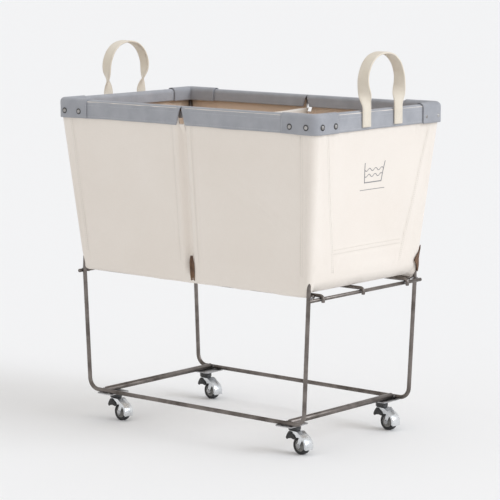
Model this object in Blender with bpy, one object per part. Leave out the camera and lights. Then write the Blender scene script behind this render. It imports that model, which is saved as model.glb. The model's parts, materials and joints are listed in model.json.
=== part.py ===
"""Laundry sorter on wheels: a canvas basket with two compartments, hung in a bent-wire
frame that stands on four small swivel casters.  Metres, +Z up, long side along X,
front towards -Y, floor at Z = 0."""

import math

import bmesh
import bpy
from mathutils import Vector

# ---------------------------------------------------------------- driving dimensions
OVERALL_L = 0.762          # over the trim, left to right
OVERALL_W = 0.463          # over the trim, front to back
RIM_H = 0.746              # floor to the top of the trim
FLOOR_H = 0.359            # floor to the underside of the canvas bottom
BAG_BOTTOM_L = 0.669       # canvas at the bottom edge
BAG_BOTTOM_W = 0.387
CANVAS_T = 0.002
BAG_CORNER_R = 0.012
CHANNEL_W = 0.030          # valley in the long walls where the divider is sewn in
CHANNEL_D = 0.010
DIVIDER_TOP = RIM_H - 0.0305

WIRE_D = 0.0095            # legs, long base rails and rim hoop
ROD_D = 0.008              # wires under the bag
CROSS_D = 0.013            # base cross bars
LEG_X = 0.318              # leg centres at the base
LEG_Y = 0.190
LEG_TOP_X = 0.3312         # leg centres at the shelf, just outside the bag's corners
LEG_TOP_Y = 0.1917
LEG_BEND_R = 0.026
TUCK_Z = 0.402             # by this height the leg is inside the bag
BASE_Z = 0.0707            # centre of the long base rails
HOOP_R = 0.012             # corner radius of the rim hoop
SHELF_Z = 0.346            # centre of the two end rods
SLATS = (("front", -0.163), ("middle", -0.022), ("rear", 0.140))

TRIM_T = 0.002
TRIM_OUT_H = 0.042         # how far the trim hangs down outside
TRIM_IN_H = 0.028          # and inside
PATCH_T = 0.0015           # second layer of trim at the corners
LEATHER_T = 0.0018
GUARD_TOP = 0.422          # tip of the leather kite on the two rear legs
GUARD_HALF = 0.020         # half its width round the corner

HANDLE_RISE = 0.1205       # top of the handle strap centre above the rim
HANDLE_HALF = 0.0725       # half width of the loop at its widest
HANDLE_FOOT = 0.0565       # half distance between the two feet
STRAP_W = 0.028
STRAP_T = 0.0045

WHEEL_R = 0.020
WHEEL_W = 0.016
WHEEL_SEGS = 28
TRAIL = 0.022              # wheel axle behind the kingpin
CASTER_X = 0.267           # kingpins
CASTER_Y = 0.158
CASTER_HEADING = math.radians(-6.0)
PLATE_T = 0.0025
PLATE_HALF_X = 0.023       # caster plate, along the rail
PLATE_OUT = 0.041          # and from the kingpin out and in
PLATE_INNER = 0.021
CROWN_RISE = 0.0305        # top of the fork above the axle
CROWN_T = 0.0026
ARM_T = 0.0020             # fork arms
ARM_GAP = 0.0017           # air between wheel and arm
AXLE_R = 0.0028
KING_R = 0.0042            # kingpin neck
HEAD_R = 0.0140            # swivel head
BRAKE_BACK = 0.0235        # brake pin behind and above the axle
BRAKE_RISE = 0.0225
BRAKE_PIN_R = 0.0018
FIT = 0.0003               # play round each pin

GAP = 0.0003               # air between pieces that touch
CORNER_STEPS = 6           # facets in each rounded corner of the rim and the bag

# ---------------------------------------------------------------- derived dimensions
WIRE_R = WIRE_D / 2
ROD_R = ROD_D / 2
AXLE_Z = WHEEL_R * math.cos(math.pi / WHEEL_SEGS)
HOOP_OUT = WIRE_R + GAP                          # canvas starts here, outside the hoop
TRIM_IN = HOOP_OUT + CANVAS_T + GAP              # trim starts here
TRIM_BACK = WIRE_R + 0.0028                      # inside flap, clear of the leaning legs
PATCH_IN = TRIM_IN + TRIM_T + GAP
HOOP_A = OVERALL_L / 2 - PATCH_IN - PATCH_T
HOOP_B = OVERALL_W / 2 - PATCH_IN - PATCH_T
HOOP_Z = RIM_H - TRIM_T - GAP - WIRE_R
BAG_TOP_Z = RIM_H - TRIM_T - 0.002
BAG_TOP_A = HOOP_A + HOOP_OUT + CANVAS_T
BAG_TOP_B = HOOP_B + HOOP_OUT + CANVAS_T
BAG_TOP_R = HOOP_R + HOOP_OUT + CANVAS_T
BAG_LOW_A = BAG_BOTTOM_L / 2
BAG_LOW_B = BAG_BOTTOM_W / 2
BAG_LOW_Z = FLOOR_H - 0.008
PLATE_TOP = BASE_Z - WIRE_R - GAP
PLATE_BOTTOM = PLATE_TOP - PLATE_T
CROWN_TOP = AXLE_Z + CROWN_RISE
CORNERS = {"front_left": (-1, -1), "front_right": (1, -1),
           "rear_left": (-1, 1), "rear_right": (1, 1)}


# ---------------------------------------------------------------- materials
def material(name, colour, rough, metal=0.0):
    """One Principled material."""
    mat = bpy.data.materials.new(name)
    mat.use_nodes = True
    bsdf = mat.node_tree.nodes["Principled BSDF"]
    bsdf.inputs["Base Color"].default_value = (*colour, 1.0)
    bsdf.inputs["Roughness"].default_value = rough
    bsdf.inputs["Metallic"].default_value = metal
    mat.diffuse_color = (*colour, 1.0)
    return mat


# ---------------------------------------------------------------- mesh helpers
def add_object(name, verts, faces, mat, parent=None, smooth=None, at=(0, 0, 0)):
    """Turn vertices and faces into an object whose faces all point out."""
    mesh = bpy.data.meshes.new(name)
    mesh.from_pydata([tuple(v) for v in verts], [], faces)
    bm = bmesh.new()
    bm.from_mesh(mesh)
    bmesh.ops.recalc_face_normals(bm, faces=bm.faces)
    bm.to_mesh(mesh)
    bm.free()
    mesh.materials.append(mat)
    if smooth is not None:
        mesh.shade_smooth()
        mesh.set_sharp_from_angle(angle=math.radians(smooth))
    obj = bpy.data.objects.new(name, mesh)
    bpy.context.scene.collection.objects.link(obj)
    obj.parent = parent
    obj.location = at
    return obj


def loft(rings, closed_path=False, cap=True):
    """Join equal rings of points into a skin; returns vertices and faces."""
    count = len(rings[0])
    verts = [p for ring in rings for p in ring]
    faces = []
    spans = len(rings) if closed_path else len(rings) - 1
    for k in range(spans):
        here, there = k * count, ((k + 1) % len(rings)) * count
        for i in range(count):
            j = (i + 1) % count
            faces.append((here + i, here + j, there + j, there + i))
    if cap and not closed_path:
        faces.append(tuple(range(count)))
        faces.append(tuple(range(len(verts) - count, len(verts))))
    return verts, faces


def bent_path(points, radius, steps=6):
    """A polyline with its inner corners rounded to the radius."""
    path = [Vector(points[0])]
    for before, corner, after in zip(points, points[1:], points[2:]):
        corner = Vector(corner)
        u = (Vector(before) - corner).normalized()
        v = (Vector(after) - corner).normalized()
        half = u.angle(v) / 2
        reach = radius / math.tan(half)
        centre = corner + (u + v).normalized() * (radius / math.sin(half))
        start = (corner + u * reach - centre).normalized()
        end = (corner + v * reach - centre).normalized()
        for k in range(steps + 1):
            path.append(centre + start.slerp(end, k / steps) * radius)
    path.append(Vector(points[-1]))
    return path


def wire(path, radius, sides=10, closed=False):
    """A round wire along a path, with flat ends."""
    rings = []
    count = len(path)
    normal = None
    for k, point in enumerate(path):
        before = path[k - 1] if (k > 0 or closed) else point
        after = path[(k + 1) % count] if (k + 1 < count or closed) else point
        tangent = (after - before).normalized()
        if normal is None:
            guide = Vector((0, 0, 1)) if abs(tangent.z) < 0.9 else Vector((1, 0, 0))
            normal = (guide - tangent * guide.dot(tangent)).normalized()
        else:
            normal = (normal - tangent * normal.dot(tangent)).normalized()
        side = tangent.cross(normal)
        ring = []
        for i in range(sides):
            turn = math.tau * (i + 0.5) / sides
            ring.append(point + (normal * math.cos(turn) + side * math.sin(turn)) * radius)
        rings.append(ring)
    return loft(rings, closed_path=closed)


def prism(outline, low, high):
    """A polygon in the XZ plane made thick along Y."""
    rings = [[(x, y, z) for x, z in outline] for y in (low, high)]
    return loft(rings)


def turned(profile, segs, axis="Z", phase=0.0):
    """A closed profile of (radius, height) points turned round an axis.  Points on
    the axis become a single vertex, so solid ends close properly."""
    verts, rings = [], []
    for radius, height in profile:
        if radius < 1e-6:
            rings.append([len(verts)] * segs)
            verts.append((0.0, 0.0, height))
            continue
        rings.append(list(range(len(verts), len(verts) + segs)))
        for k in range(segs):
            turn = math.tau * k / segs + phase
            verts.append((radius * math.cos(turn), radius * math.sin(turn), height))
    faces = []
    for k in range(len(rings)):
        a, b = rings[k], rings[(k + 1) % len(rings)]
        for i in range(segs):
            j = (i + 1) % segs
            face = list(dict.fromkeys((a[i], a[j], b[j], b[i])))
            if len(face) > 2:
                faces.append(tuple(face))
    if axis == "Y":
        verts = [(x, h, -y) for x, y, h in verts]
    return verts, faces


def rod_profile(radius, half):
    """Profile of a plain rod, for turned()."""
    return [(0, -half), (radius, -half), (radius, half), (0, half)]


def cut(obj, cutter):
    """Boolean difference with a hidden cutter."""
    mod = obj.modifiers.new("cut", "BOOLEAN")
    mod.operation = "DIFFERENCE"
    mod.solver = "EXACT"
    mod.object = cutter
    cutter.hide_render = True
    cutter.display_type = "WIRE"


# ---------------------------------------------------------------- the basket outline
def up_wall(z):
    """0 at the bottom edge of the bag, 1 from the underside of the hoop upwards."""
    top = HOOP_Z - WIRE_R
    return (min(z, top) - BAG_LOW_Z) / (top - BAG_LOW_Z)


def wall_size(z):
    """Half length and half width of the outside of the bag at a height."""
    t = up_wall(z)
    return BAG_LOW_A + (BAG_TOP_A - BAG_LOW_A) * t, BAG_LOW_B + (BAG_TOP_B - BAG_LOW_B) * t


def corner_radius(z):
    """Outside corner radius of the bag: it follows the hoop and tightens downwards."""
    return BAG_CORNER_R + (BAG_TOP_R - BAG_CORNER_R) * up_wall(z)


def channel_depth(z):
    """The valley fades out under the trim and at the bottom edge."""
    rise = min(1.0, max(0.0, (RIM_H - 0.018 - z) / 0.03))
    fade = min(1.0, max(0.0, (z - BAG_LOW_Z - 0.004) / 0.03))
    return CHANNEL_D * rise * fade


def outline(a, b, radius, depth=0.0, steps=CORNER_STEPS):
    """Rounded rectangle, anticlockwise, with a valley in the middle of each long side.
    Each point carries its weight towards the long sides."""
    half = CHANNEL_W / 2
    valley = ((-half, 0.0), (-half * 0.45, 0.75), (0.0, 1.0), (half * 0.45, 0.75), (half, 0.0))
    points = [(x, -b + depth * k, 1.0) for x, k in valley]
    for sx, sy, start in ((1, -1, -90), (1, 1, 0)):
        for k in range(steps + 1):
            turn = math.radians(start + 90 * k / steps)
            points.append((sx * (a - radius) + radius * math.cos(turn),
                           sy * (b - radius) + radius * math.sin(turn),
                           abs(math.sin(turn))))
    points += [(-x, b - depth * k, 1.0) for x, k in valley]
    for sx, sy, start in ((-1, 1, 90), (-1, -1, 180)):
        for k in range(steps + 1):
            turn = math.radians(start + 90 * k / steps)
            points.append((sx * (a - radius) + radius * math.cos(turn),
                           sy * (b - radius) + radius * math.sin(turn),
                           abs(math.sin(turn))))
    return points


WALL_LEVELS = (BAG_TOP_Z, RIM_H - 0.020, RIM_H - 0.046, 0.62, 0.54, 0.47, 0.41)

# the lower edge of the bag: inset and height, under the long walls and under the ends
LONG_EDGE = ((0.0, 0.003), (0.0015, -0.0045), (0.006, -0.0085), (0.012, -0.0065), (0.019, 0.0))
END_EDGE = ((0.0, 0.032), (0.002, 0.021), (0.007, 0.0115), (0.014, 0.004), (0.022, 0.0))


def bag_rings(inset):
    """Rings of one skin of the bag, from the top edge to the edge of the bottom."""
    rings = []
    for z in WALL_LEVELS:
        a, b = wall_size(z)
        ring = outline(a - inset, b - inset, corner_radius(z) - inset, channel_depth(z))
        rings.append([Vector((x, y, z)) for x, y, _ in ring])
    for (d_long, z_long), (d_end, z_end) in zip(LONG_EDGE, END_EDGE):
        low = FLOOR_H + z_long
        a, b = wall_size(FLOOR_H + END_EDGE[0][1])[0], wall_size(FLOOR_H + LONG_EDGE[0][1])[1]
        ring = outline(a - inset - d_end, b - inset - d_long, BAG_CORNER_R - inset,
                       channel_depth(low) * 0.6)
        rings.append([Vector((x, y, FLOOR_H + inset + z_end + (z_long - z_end) * w))
                      for x, y, w in ring])
    return rings


def leg_points(sx, sy):
    """Centre line of one leg, from the floor end to the rim."""
    points = [Vector((sx * LEG_X, sy * LEG_Y, BASE_Z)),
              Vector((sx * LEG_TOP_X, sy * LEG_TOP_Y, SHELF_Z))]
    for z in (TUCK_Z, HOOP_Z - WIRE_R - GAP - 0.004):
        a, b = wall_size(z)
        radius = corner_radius(z)
        tuck = radius - (radius - CANVAS_T - WIRE_R - 0.0008) / math.sqrt(2)
        points.append(Vector((sx * (a - tuck), sy * (b - tuck), z)))
    return points


# ---------------------------------------------------------------- fabric pieces
def leg_slot_cutter(name, sx, sy, mat):
    """A fatter piece of the leg, used to open the bag where the leg goes in."""
    points = bent_path(leg_points(sx, sy)[1:3], 0.01)
    low = points[0] + (points[0] - points[-1]) * 0.6
    high = points[-1] + (points[-1] - points[0]) * 0.02
    verts, faces = wire([low, points[0], high], WIRE_R + 0.0012, sides=12)
    return add_object(name, verts, faces, mat)


def make_bag(mat, cutters):
    """One closed skin: outside, bottom, inside and the top edge."""
    outer, inner = bag_rings(0.0), bag_rings(CANVAS_T)
    rings = outer + inner[::-1]
    count = len(outer[0])
    verts, faces = loft(rings, closed_path=True, cap=False)
    edge = len(outer) - 1
    faces = [f for k, f in enumerate(faces) if k // count != edge]
    faces.append(tuple(range(edge * count, (edge + 1) * count)))
    faces.append(tuple(range((edge + 1) * count, (edge + 2) * count)))
    bag = add_object("canvas_basket", verts, faces, mat, smooth=35)
    for cutter in cutters:
        cut(bag, cutter)
    return bag


def make_divider(mat):
    """Upright sheet between the two valleys, with a slightly slack top edge."""
    heights = [FLOOR_H + CANVAS_T + GAP, 0.375, 0.392] + [*WALL_LEVELS[:1:-1], DIVIDER_TOP]
    edge = []
    for z in heights:
        b = wall_size(z)[1] - CANVAS_T - channel_depth(z) - GAP * 2
        edge.append((-(b - (0.021 if z < 0.37 else 0.0)), z))
    top = edge[-1]
    slack = [(top[0] * k, top[1] - 0.006 * (1 - k * k)) for k in (0.75, 0.45, 0.0, -0.45, -0.75)]
    loop = edge + slack + [(-y, z) for y, z in reversed(edge)]
    rings = [[(x, y, z) for y, z in loop] for x in (-CANVAS_T / 2, CANVAS_T / 2)]
    return add_object("divider_panel", *loft(rings), mat)


def rim_path(offset, side, gap):
    """Half of the rim line on one side, from the front middle to the rear middle."""
    a, b, radius = HOOP_A + offset, HOOP_B + offset, HOOP_R + offset
    points = [(gap, -b), (0.05, -b), (0.20, -b)]
    for cx, cy, start in ((a - radius, -(b - radius), -90), (a - radius, b - radius, 0)):
        for k in range(CORNER_STEPS + 1):
            turn = math.radians(start + 90 * k / CORNER_STEPS)
            points.append((cx + radius * math.cos(turn), cy + radius * math.sin(turn)))
    points += [(0.20, b), (0.05, b), (gap, b)]
    return [(side * x, y) for x, y in points]


def make_trim(name, side, mat):
    """Folded strip over the hoop; its two ends slope away to leave a small V."""
    low_out, low_in = RIM_H - TRIM_OUT_H, RIM_H - TRIM_IN_H
    outer, inner = TRIM_IN + TRIM_T, -(TRIM_BACK + TRIM_T)
    section = [(TRIM_IN, low_out), (outer, low_out), (outer, RIM_H - 0.002),
               (outer - 0.002, RIM_H), (inner + 0.002, RIM_H), (inner, RIM_H - 0.002),
               (inner, low_in), (-TRIM_BACK, low_in), (-TRIM_BACK, RIM_H - TRIM_T),
               (TRIM_IN, RIM_H - TRIM_T)]
    columns = []
    for offset, z in section:
        gap = 0.0008 + 0.0125 * (RIM_H - z) / TRIM_OUT_H
        columns.append([(x, y, z) for x, y in rim_path(offset, side, gap)])
    rings = [list(ring) for ring in zip(*columns)]
    return add_object(name, *loft(rings), mat, smooth=40)


def make_corner_patch(name, sx, sy, mat):
    """Second layer of trim folded round one corner."""
    rings = []
    a, b, radius = HOOP_A, HOOP_B, HOOP_R
    stations = [(a - radius - 0.070, b, 0, 1), (a - radius - 0.035, b, 0, 1)]
    for k in range(CORNER_STEPS + 1):
        turn = math.radians(90 - 90 * k / CORNER_STEPS)
        stations.append((a - radius, b - radius, math.cos(turn), math.sin(turn)))
    stations += [(a, b - radius - 0.030, 1, 0)]
    low, high = RIM_H - TRIM_OUT_H + 0.0005, RIM_H - 0.0005
    for x, y, nx, ny in stations:
        ring = []
        on_arc = (x == a - radius and y == b - radius)
        for offset, z in ((PATCH_IN, low), (PATCH_IN + PATCH_T, low),
                          (PATCH_IN + PATCH_T, high), (PATCH_IN, high)):
            reach = offset + (radius if on_arc else 0.0)
            ring.append((sx * (x + nx * reach), sy * (y + ny * reach), z))
        rings.append(ring)
    return add_object(name, *loft(rings), mat, smooth=40)


def make_leg_guard(name, sx, sy, mat, cutter):
    """Leather kite folded round a rear bottom corner of the bag, over the leg slot."""
    low = FLOOR_H + 0.0185
    rise = GUARD_TOP - low
    rows = ((low, 0.45, 0.0022), (low + rise * 0.38, 1.0, 0.0014),
            (low + rise * 0.7, 0.55, 0.0008), (GUARD_TOP, 0.12, 0.0008))
    rings = []
    for z, share, lift in rows:
        a, b = wall_size(z)
        corner = corner_radius(z)
        arc = corner * math.pi / 4
        reach = GUARD_HALF * share
        ring = []
        for offset, order in ((lift, 1), (lift + LEATHER_T, -1)):
            radius = corner + offset
            for k in range(9)[::order]:
                s = reach * (k / 4 - 1)
                turn = math.radians(45) + max(-arc, min(arc, s)) / corner
                extra = math.copysign(max(0.0, abs(s) - arc), s)
                x = a - corner + radius * math.cos(turn) - max(0.0, extra)
                y = b - corner + radius * math.sin(turn) - max(0.0, -extra)
                ring.append((sx * x, sy * y, z))
        rings.append(ring)
    guard = add_object(name, *loft(rings), mat, smooth=40)
    cut(guard, cutter)
    return guard


def make_foot_tab(name, sy, mat):
    """Leather tab that closes the foot of one valley."""
    rings = []
    for z, half in ((FLOOR_H + 0.004, 0.010), (0.380, 0.011), (0.400, 0.0095), (0.413, 0.006)):
        b = wall_size(z)[1]
        near, far = sy * (b + 0.0005), sy * (b + 0.0005 + LEATHER_T)
        ring = [(-half, near, z), (half, near, z), (half, far, z), (-half, far, z)]
        rings.append(ring)
    return add_object(name, *loft(rings), mat)


def make_handle(name, side, mat):
    """Webbing loop: both feet lie flat on the trim, then the strap turns edge-on."""
    foot_x = HOOP_A + TRIM_IN + TRIM_T + GAP + STRAP_T / 2
    arch_x = foot_x - 0.004
    half_line = [(HANDLE_FOOT, -0.036, 0.0), (HANDLE_FOOT, -0.012, 0.0),
                 (HANDLE_FOOT, 0.004, 0.0), (HANDLE_FOOT + 0.002, 0.014, 0.35),
                 (HANDLE_FOOT + 0.006, 0.026, 0.7), (HANDLE_HALF - 0.004, 0.040, 0.95),
                 (HANDLE_HALF, 0.058, 1.0), (HANDLE_HALF - 0.004, 0.078, 1.0),
                 (HANDLE_HALF - 0.016, 0.099, 1.0), (HANDLE_HALF - 0.038, 0.114, 1.0),
                 (0.0, HANDLE_RISE, 1.0)]
    line = [(-y, z, t) for y, z, t in half_line] + half_line[-2::-1]
    points = []
    for y, z, t in line:
        x = foot_x + (arch_x - foot_x) * t
        points.append(Vector((side * x, y, RIM_H + z)))
    rings = []
    for k, (point, (_, _, t)) in enumerate(zip(points, line)):
        tangent = (points[min(k + 1, len(points) - 1)] - points[max(k - 1, 0)]).normalized()
        broad = Vector((side * t, 1.0 - t, 0.0))
        broad = (broad - tangent * broad.dot(tangent)).normalized()
        thin = tangent.cross(broad)
        ring = []
        for u, v in ((-1, -0.5), (-0.93, -1), (0.93, -1), (1, -0.5),
                     (1, 0.5), (0.93, 1), (-0.93, 1), (-1, 0.5)):
            ring.append(point + broad * (u * STRAP_W / 2) + thin * (v * STRAP_T / 2))
        rings.append(ring)
    return add_object(name, *loft(rings), mat, smooth=40)


# ---------------------------------------------------------------- frame pieces
def make_side_frame(name, sy, mat):
    """One long wire: leg, base rail and leg, bent at four places."""
    left, right = leg_points(-1, sy), leg_points(1, sy)
    low = bent_path([left[1], left[0], right[0], right[1]], LEG_BEND_R, steps=7)
    path = [left[3], left[2]] + low + [right[2], right[3]]
    return add_object(name, *wire(path, WIRE_R), mat, smooth=50)


def make_hoop(mat):
    """Rim wire: a rounded rectangle."""
    path = []
    for sx, sy, start in ((1, -1, -90), (1, 1, 0), (-1, 1, 90), (-1, -1, 180)):
        for k in range(CORNER_STEPS + 1):
            turn = math.radians(start + 90 * k / CORNER_STEPS)
            path.append(Vector((sx * (HOOP_A - HOOP_R) + HOOP_R * math.cos(turn),
                                sy * (HOOP_B - HOOP_R) + HOOP_R * math.sin(turn), HOOP_Z)))
    return add_object("rim_hoop", *wire(path, WIRE_R, closed=True), mat, smooth=50)


def straight(name, start, end, radius, mat, sides=12):
    """Plain round bar."""
    return add_object(name, *wire([Vector(start), Vector(end)], radius, sides), mat, smooth=50)


def make_shelf(mat):
    """Wires under the bag: two end rods, two side wires and three hooked slats."""
    leg_at = leg_points(1, 1)
    rod_x = leg_at[1].x + WIRE_R + ROD_R + GAP
    rod_end = leg_at[1].y + 0.0103
    side_y = leg_at[1].y - WIRE_R - ROD_R - 0.0099
    side_z = FLOOR_H - ROD_R - 0.0035
    for name, side in (("left", -1), ("right", 1)):
        straight("shelf_end_rod_" + name, (side * rod_x, -rod_end, SHELF_Z),
                 (side * rod_x, rod_end, SHELF_Z), ROD_R, mat)
    for name, sy in (("front", -1), ("rear", 1)):
        straight("shelf_side_wire_" + name, (-leg_at[1].x, sy * side_y, side_z),
                 (leg_at[1].x, sy * side_y, side_z), ROD_R, mat)
    slat_z = SHELF_Z + ROD_R * 2 + GAP
    tip_x = rod_x + ROD_R * 2 + GAP
    for name, y in SLATS:
        path = bent_path([(-tip_x, y, SHELF_Z - 0.006), (-tip_x, y, slat_z),
                          (tip_x, y, slat_z), (tip_x, y, SHELF_Z - 0.006)], ROD_R * 2, steps=5)
        add_object("shelf_slat_" + name, *wire(path, ROD_R, sides=8), mat, smooth=50)


# ---------------------------------------------------------------- caster pieces
def arc(radius, start, end, steps):
    """Points on a circle round the axle."""
    points = []
    for k in range(steps + 1):
        turn = math.radians(start + (end - start) * k / steps)
        points.append((radius * math.cos(turn), radius * math.sin(turn)))
    return points


def make_fork(name, mat, parent):
    """Hooded fork: crown plate, hood over the rear of the wheel, two arms to the axle."""
    half = WHEEL_W / 2 + ARM_GAP
    crown = CROWN_RISE
    body = arc(0.024, -32, 72, 9)
    body += [(-0.004, crown), (-0.029, crown), (-0.029, crown - 0.003), (-0.0285, 0.0215)]
    body += [(-0.0265, 0.0175), (-0.0200, 0.0165)]
    body += arc(0.0140, 125, 20, 6)
    body += arc(0.0055, 25, 285, 8)
    pocket = arc(0.0223, -75, 84, 9)
    under = crown - CROWN_T
    pocket += [(-0.005, under), (-0.045, under), (-0.045, -0.035), (0.006, -0.035)]
    fork = add_object(name, *prism(body, -half - ARM_T, half + ARM_T), mat,
                      parent=parent, smooth=35, at=(TRAIL, 0, AXLE_Z))
    hollow = add_object(name + "_pocket", *prism(pocket, -half, half), mat,
                        parent=parent, at=(TRAIL, 0, AXLE_Z))
    cut(fork, hollow)
    bore = turned(rod_profile(AXLE_R + FIT, 0.03), 12, axis="Y")
    cut(fork, add_object(name + "_bore", *bore, mat, parent=parent, at=(TRAIL, 0, AXLE_Z)))
    pin = turned(rod_profile(BRAKE_PIN_R + FIT, 0.03), 10, axis="Y")
    cut(fork, add_object(name + "_pin_bore", *pin, mat, parent=parent,
                         at=(TRAIL - BRAKE_BACK, 0, AXLE_Z + BRAKE_RISE)))
    king = turned(rod_profile(KING_R + FIT, 0.02), 14)
    cut(fork, add_object(name + "_king_bore", *king, mat, parent=parent, at=(0, 0, CROWN_TOP)))


def make_caster(corner, mats):
    """Plate and swivel head on the frame; fork, axle, wheel and brake under it."""
    sx, sy = CORNERS[corner]
    x, y = sx * CASTER_X, sy * CASTER_Y
    plate = [(-PLATE_HALF_X, PLATE_OUT), (PLATE_HALF_X, PLATE_OUT),
             (PLATE_HALF_X, -PLATE_INNER), (-PLATE_HALF_X, -PLATE_INNER)]
    rings = [[(x + px, y + sy * py, z) for px, py in plate] for z in (PLATE_BOTTOM, PLATE_TOP)]
    add_object("caster_plate_" + corner, *loft(rings), mats["steel"])
    head_top, head_low = PLATE_BOTTOM - GAP, CROWN_TOP + GAP
    rim_r, button_r = HEAD_R - 0.0015, KING_R + 0.002
    button_top = CROWN_TOP - CROWN_T - GAP
    head = [(0, head_top), (rim_r, head_top), (HEAD_R, head_top - 0.003),
            (HEAD_R, head_low + 0.003), (rim_r, head_low), (KING_R, head_low),
            (KING_R, button_top), (button_r, button_top),
            (button_r, button_top - 0.0013), (0, button_top - 0.0013)]
    add_object("caster_head_" + corner, *turned(head, 16), mats["black"], smooth=40, at=(x, y, 0))
    swivel = bpy.data.objects.new("swivel_" + corner, None)
    bpy.context.scene.collection.objects.link(swivel)
    swivel.location = (x, y, 0)
    swivel.rotation_euler = (0, 0, CASTER_HEADING)
    make_fork("caster_fork_" + corner, mats["zinc"], swivel)
    at = (TRAIL, 0, AXLE_Z)
    end = WHEEL_W / 2 + ARM_GAP + ARM_T + GAP
    cap_r, cap = AXLE_R + 0.0016, end + 0.0018
    axle = [(0, -cap), (cap_r, -cap), (cap_r, -end), (AXLE_R, -end),
            (AXLE_R, end), (cap_r, end), (cap_r, cap), (0, cap)]
    add_object("caster_axle_" + corner, *turned(axle, 12, axis="Y"), mats["steel"],
               parent=swivel, smooth=40, at=at)
    w = WHEEL_W / 2
    half_hub = [(AXLE_R + FIT, w + 0.0008), (0.0060, w + 0.0008), (0.0068, w - 0.0020),
                (0.0115, w - 0.0020), (0.0128, w - 0.0012)]
    hub = [(r, -y) for r, y in half_hub] + half_hub[::-1]
    add_object("wheel_hub_" + corner, *turned(hub, 20, axis="Y"), mats["hub"],
               parent=swivel, smooth=40, at=at)
    half_tyre = [(0.0128 + FIT, w - 0.0012), (WHEEL_R - 0.0025, w), (WHEEL_R - 0.0008, w - 0.0010),
                 (WHEEL_R, w - 0.0035)]
    tyre = [(r, -y) for r, y in half_tyre] + half_tyre[::-1]
    add_object("wheel_tyre_" + corner, *turned(tyre, WHEEL_SEGS, axis="Y",
               phase=math.pi / WHEEL_SEGS), mats["tyre"], parent=swivel, smooth=40, at=at)
    make_pedal("brake_pedal_" + corner, mats["black"], swivel)


def make_pedal(name, mat, parent):
    """Brake tab in front of the wheel, hung on its own pin between the fork arms."""
    tab = [(0.0030, 0.0022), (-0.0020, 0.0036), (-0.0070, 0.0000), (-0.0125, -0.0075),
           (-0.0118, -0.0105), (-0.0085, -0.0108), (-0.0035, -0.0048), (0.0022, -0.0092),
           (0.0040, -0.0078), (0.0028, -0.0025)]
    pivot = (TRAIL - BRAKE_BACK, 0, AXLE_Z + BRAKE_RISE)
    body = prism(tab, -WHEEL_W / 2, WHEEL_W / 2)
    lever = add_object(name, *body, mat, parent=parent, at=pivot)
    pin = turned(rod_profile(BRAKE_PIN_R, WHEEL_W / 2 + ARM_GAP + ARM_T - 0.0002), 10, axis="Y")
    stub = add_object(name + "_pin", *pin, mat, parent=parent, at=pivot)
    join = lever.modifiers.new("pin", "BOOLEAN")
    join.operation = "UNION"
    join.solver = "EXACT"
    join.object = stub
    stub.hide_render = True
    stub.display_type = "WIRE"


# ---------------------------------------------------------------- build
def main():
    for old in list(bpy.data.objects):
        bpy.data.objects.remove(old, do_unlink=True)
    canvas = material("canvas", (0.78, 0.74, 0.67), 0.9)
    lining = material("divider_canvas", (0.80, 0.76, 0.69), 0.9)
    trim = material("trim_webbing", (0.42, 0.45, 0.47), 0.85)
    patch = material("trim_patch", (0.39, 0.42, 0.44), 0.85)
    strap = material("handle_webbing", (0.80, 0.74, 0.64), 0.85)
    leather = material("leather", (0.14, 0.08, 0.045), 0.55)
    steel = material("frame_steel", (0.30, 0.28, 0.26), 0.4, 0.9)
    mats = {
        "steel": material("plate_steel", (0.42, 0.42, 0.42), 0.4, 0.9),
        "zinc": material("fork_zinc", (0.72, 0.74, 0.76), 0.28, 0.95),
        "black": material("black_plastic", (0.02, 0.02, 0.02), 0.5),
        "hub": material("hub_plastic", (0.22, 0.21, 0.20), 0.5),
        "tyre": material("tyre_rubber", (0.03, 0.03, 0.03), 0.75),
    }
    cutters = {}
    for corner, (sx, sy) in CORNERS.items():
        cutters[corner] = leg_slot_cutter("leg_slot_" + corner, sx, sy, steel)
    make_bag(canvas, cutters.values())
    make_divider(lining)
    make_trim("trim_left", -1, trim)
    make_trim("trim_right", 1, trim)
    for corner, (sx, sy) in CORNERS.items():
        make_corner_patch("trim_corner_" + corner, sx, sy, patch)
        if sy > 0:
            make_leg_guard("leg_guard_" + corner, sx, sy, leather, cutters[corner])
        make_caster(corner, mats)
    make_foot_tab("foot_tab_front", -1, leather)
    make_foot_tab("foot_tab_rear", 1, leather)
    make_handle("handle_left", -1, strap)
    make_handle("handle_right", 1, strap)
    make_side_frame("side_frame_front", -1, steel)
    make_side_frame("side_frame_rear", 1, steel)
    make_hoop(steel)
    cross_y = LEG_Y - WIRE_R - GAP
    for name, side in (("left", -1), ("right", 1)):
        x = side * (CASTER_X + 0.007)
        z = PLATE_TOP + GAP + CROSS_D / 2
        straight("base_cross_bar_" + name, (x, -cross_y, z), (x, cross_y, z), CROSS_D / 2, steel)
    make_shelf(steel)


main()
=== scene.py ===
"""Looks of the laundry sorter: canvas bag, folded trim, webbing, leather, wire and casters."""

import json
import math

import bmesh
import bpy
import numpy as np
from mathutils import Matrix, Vector


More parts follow.
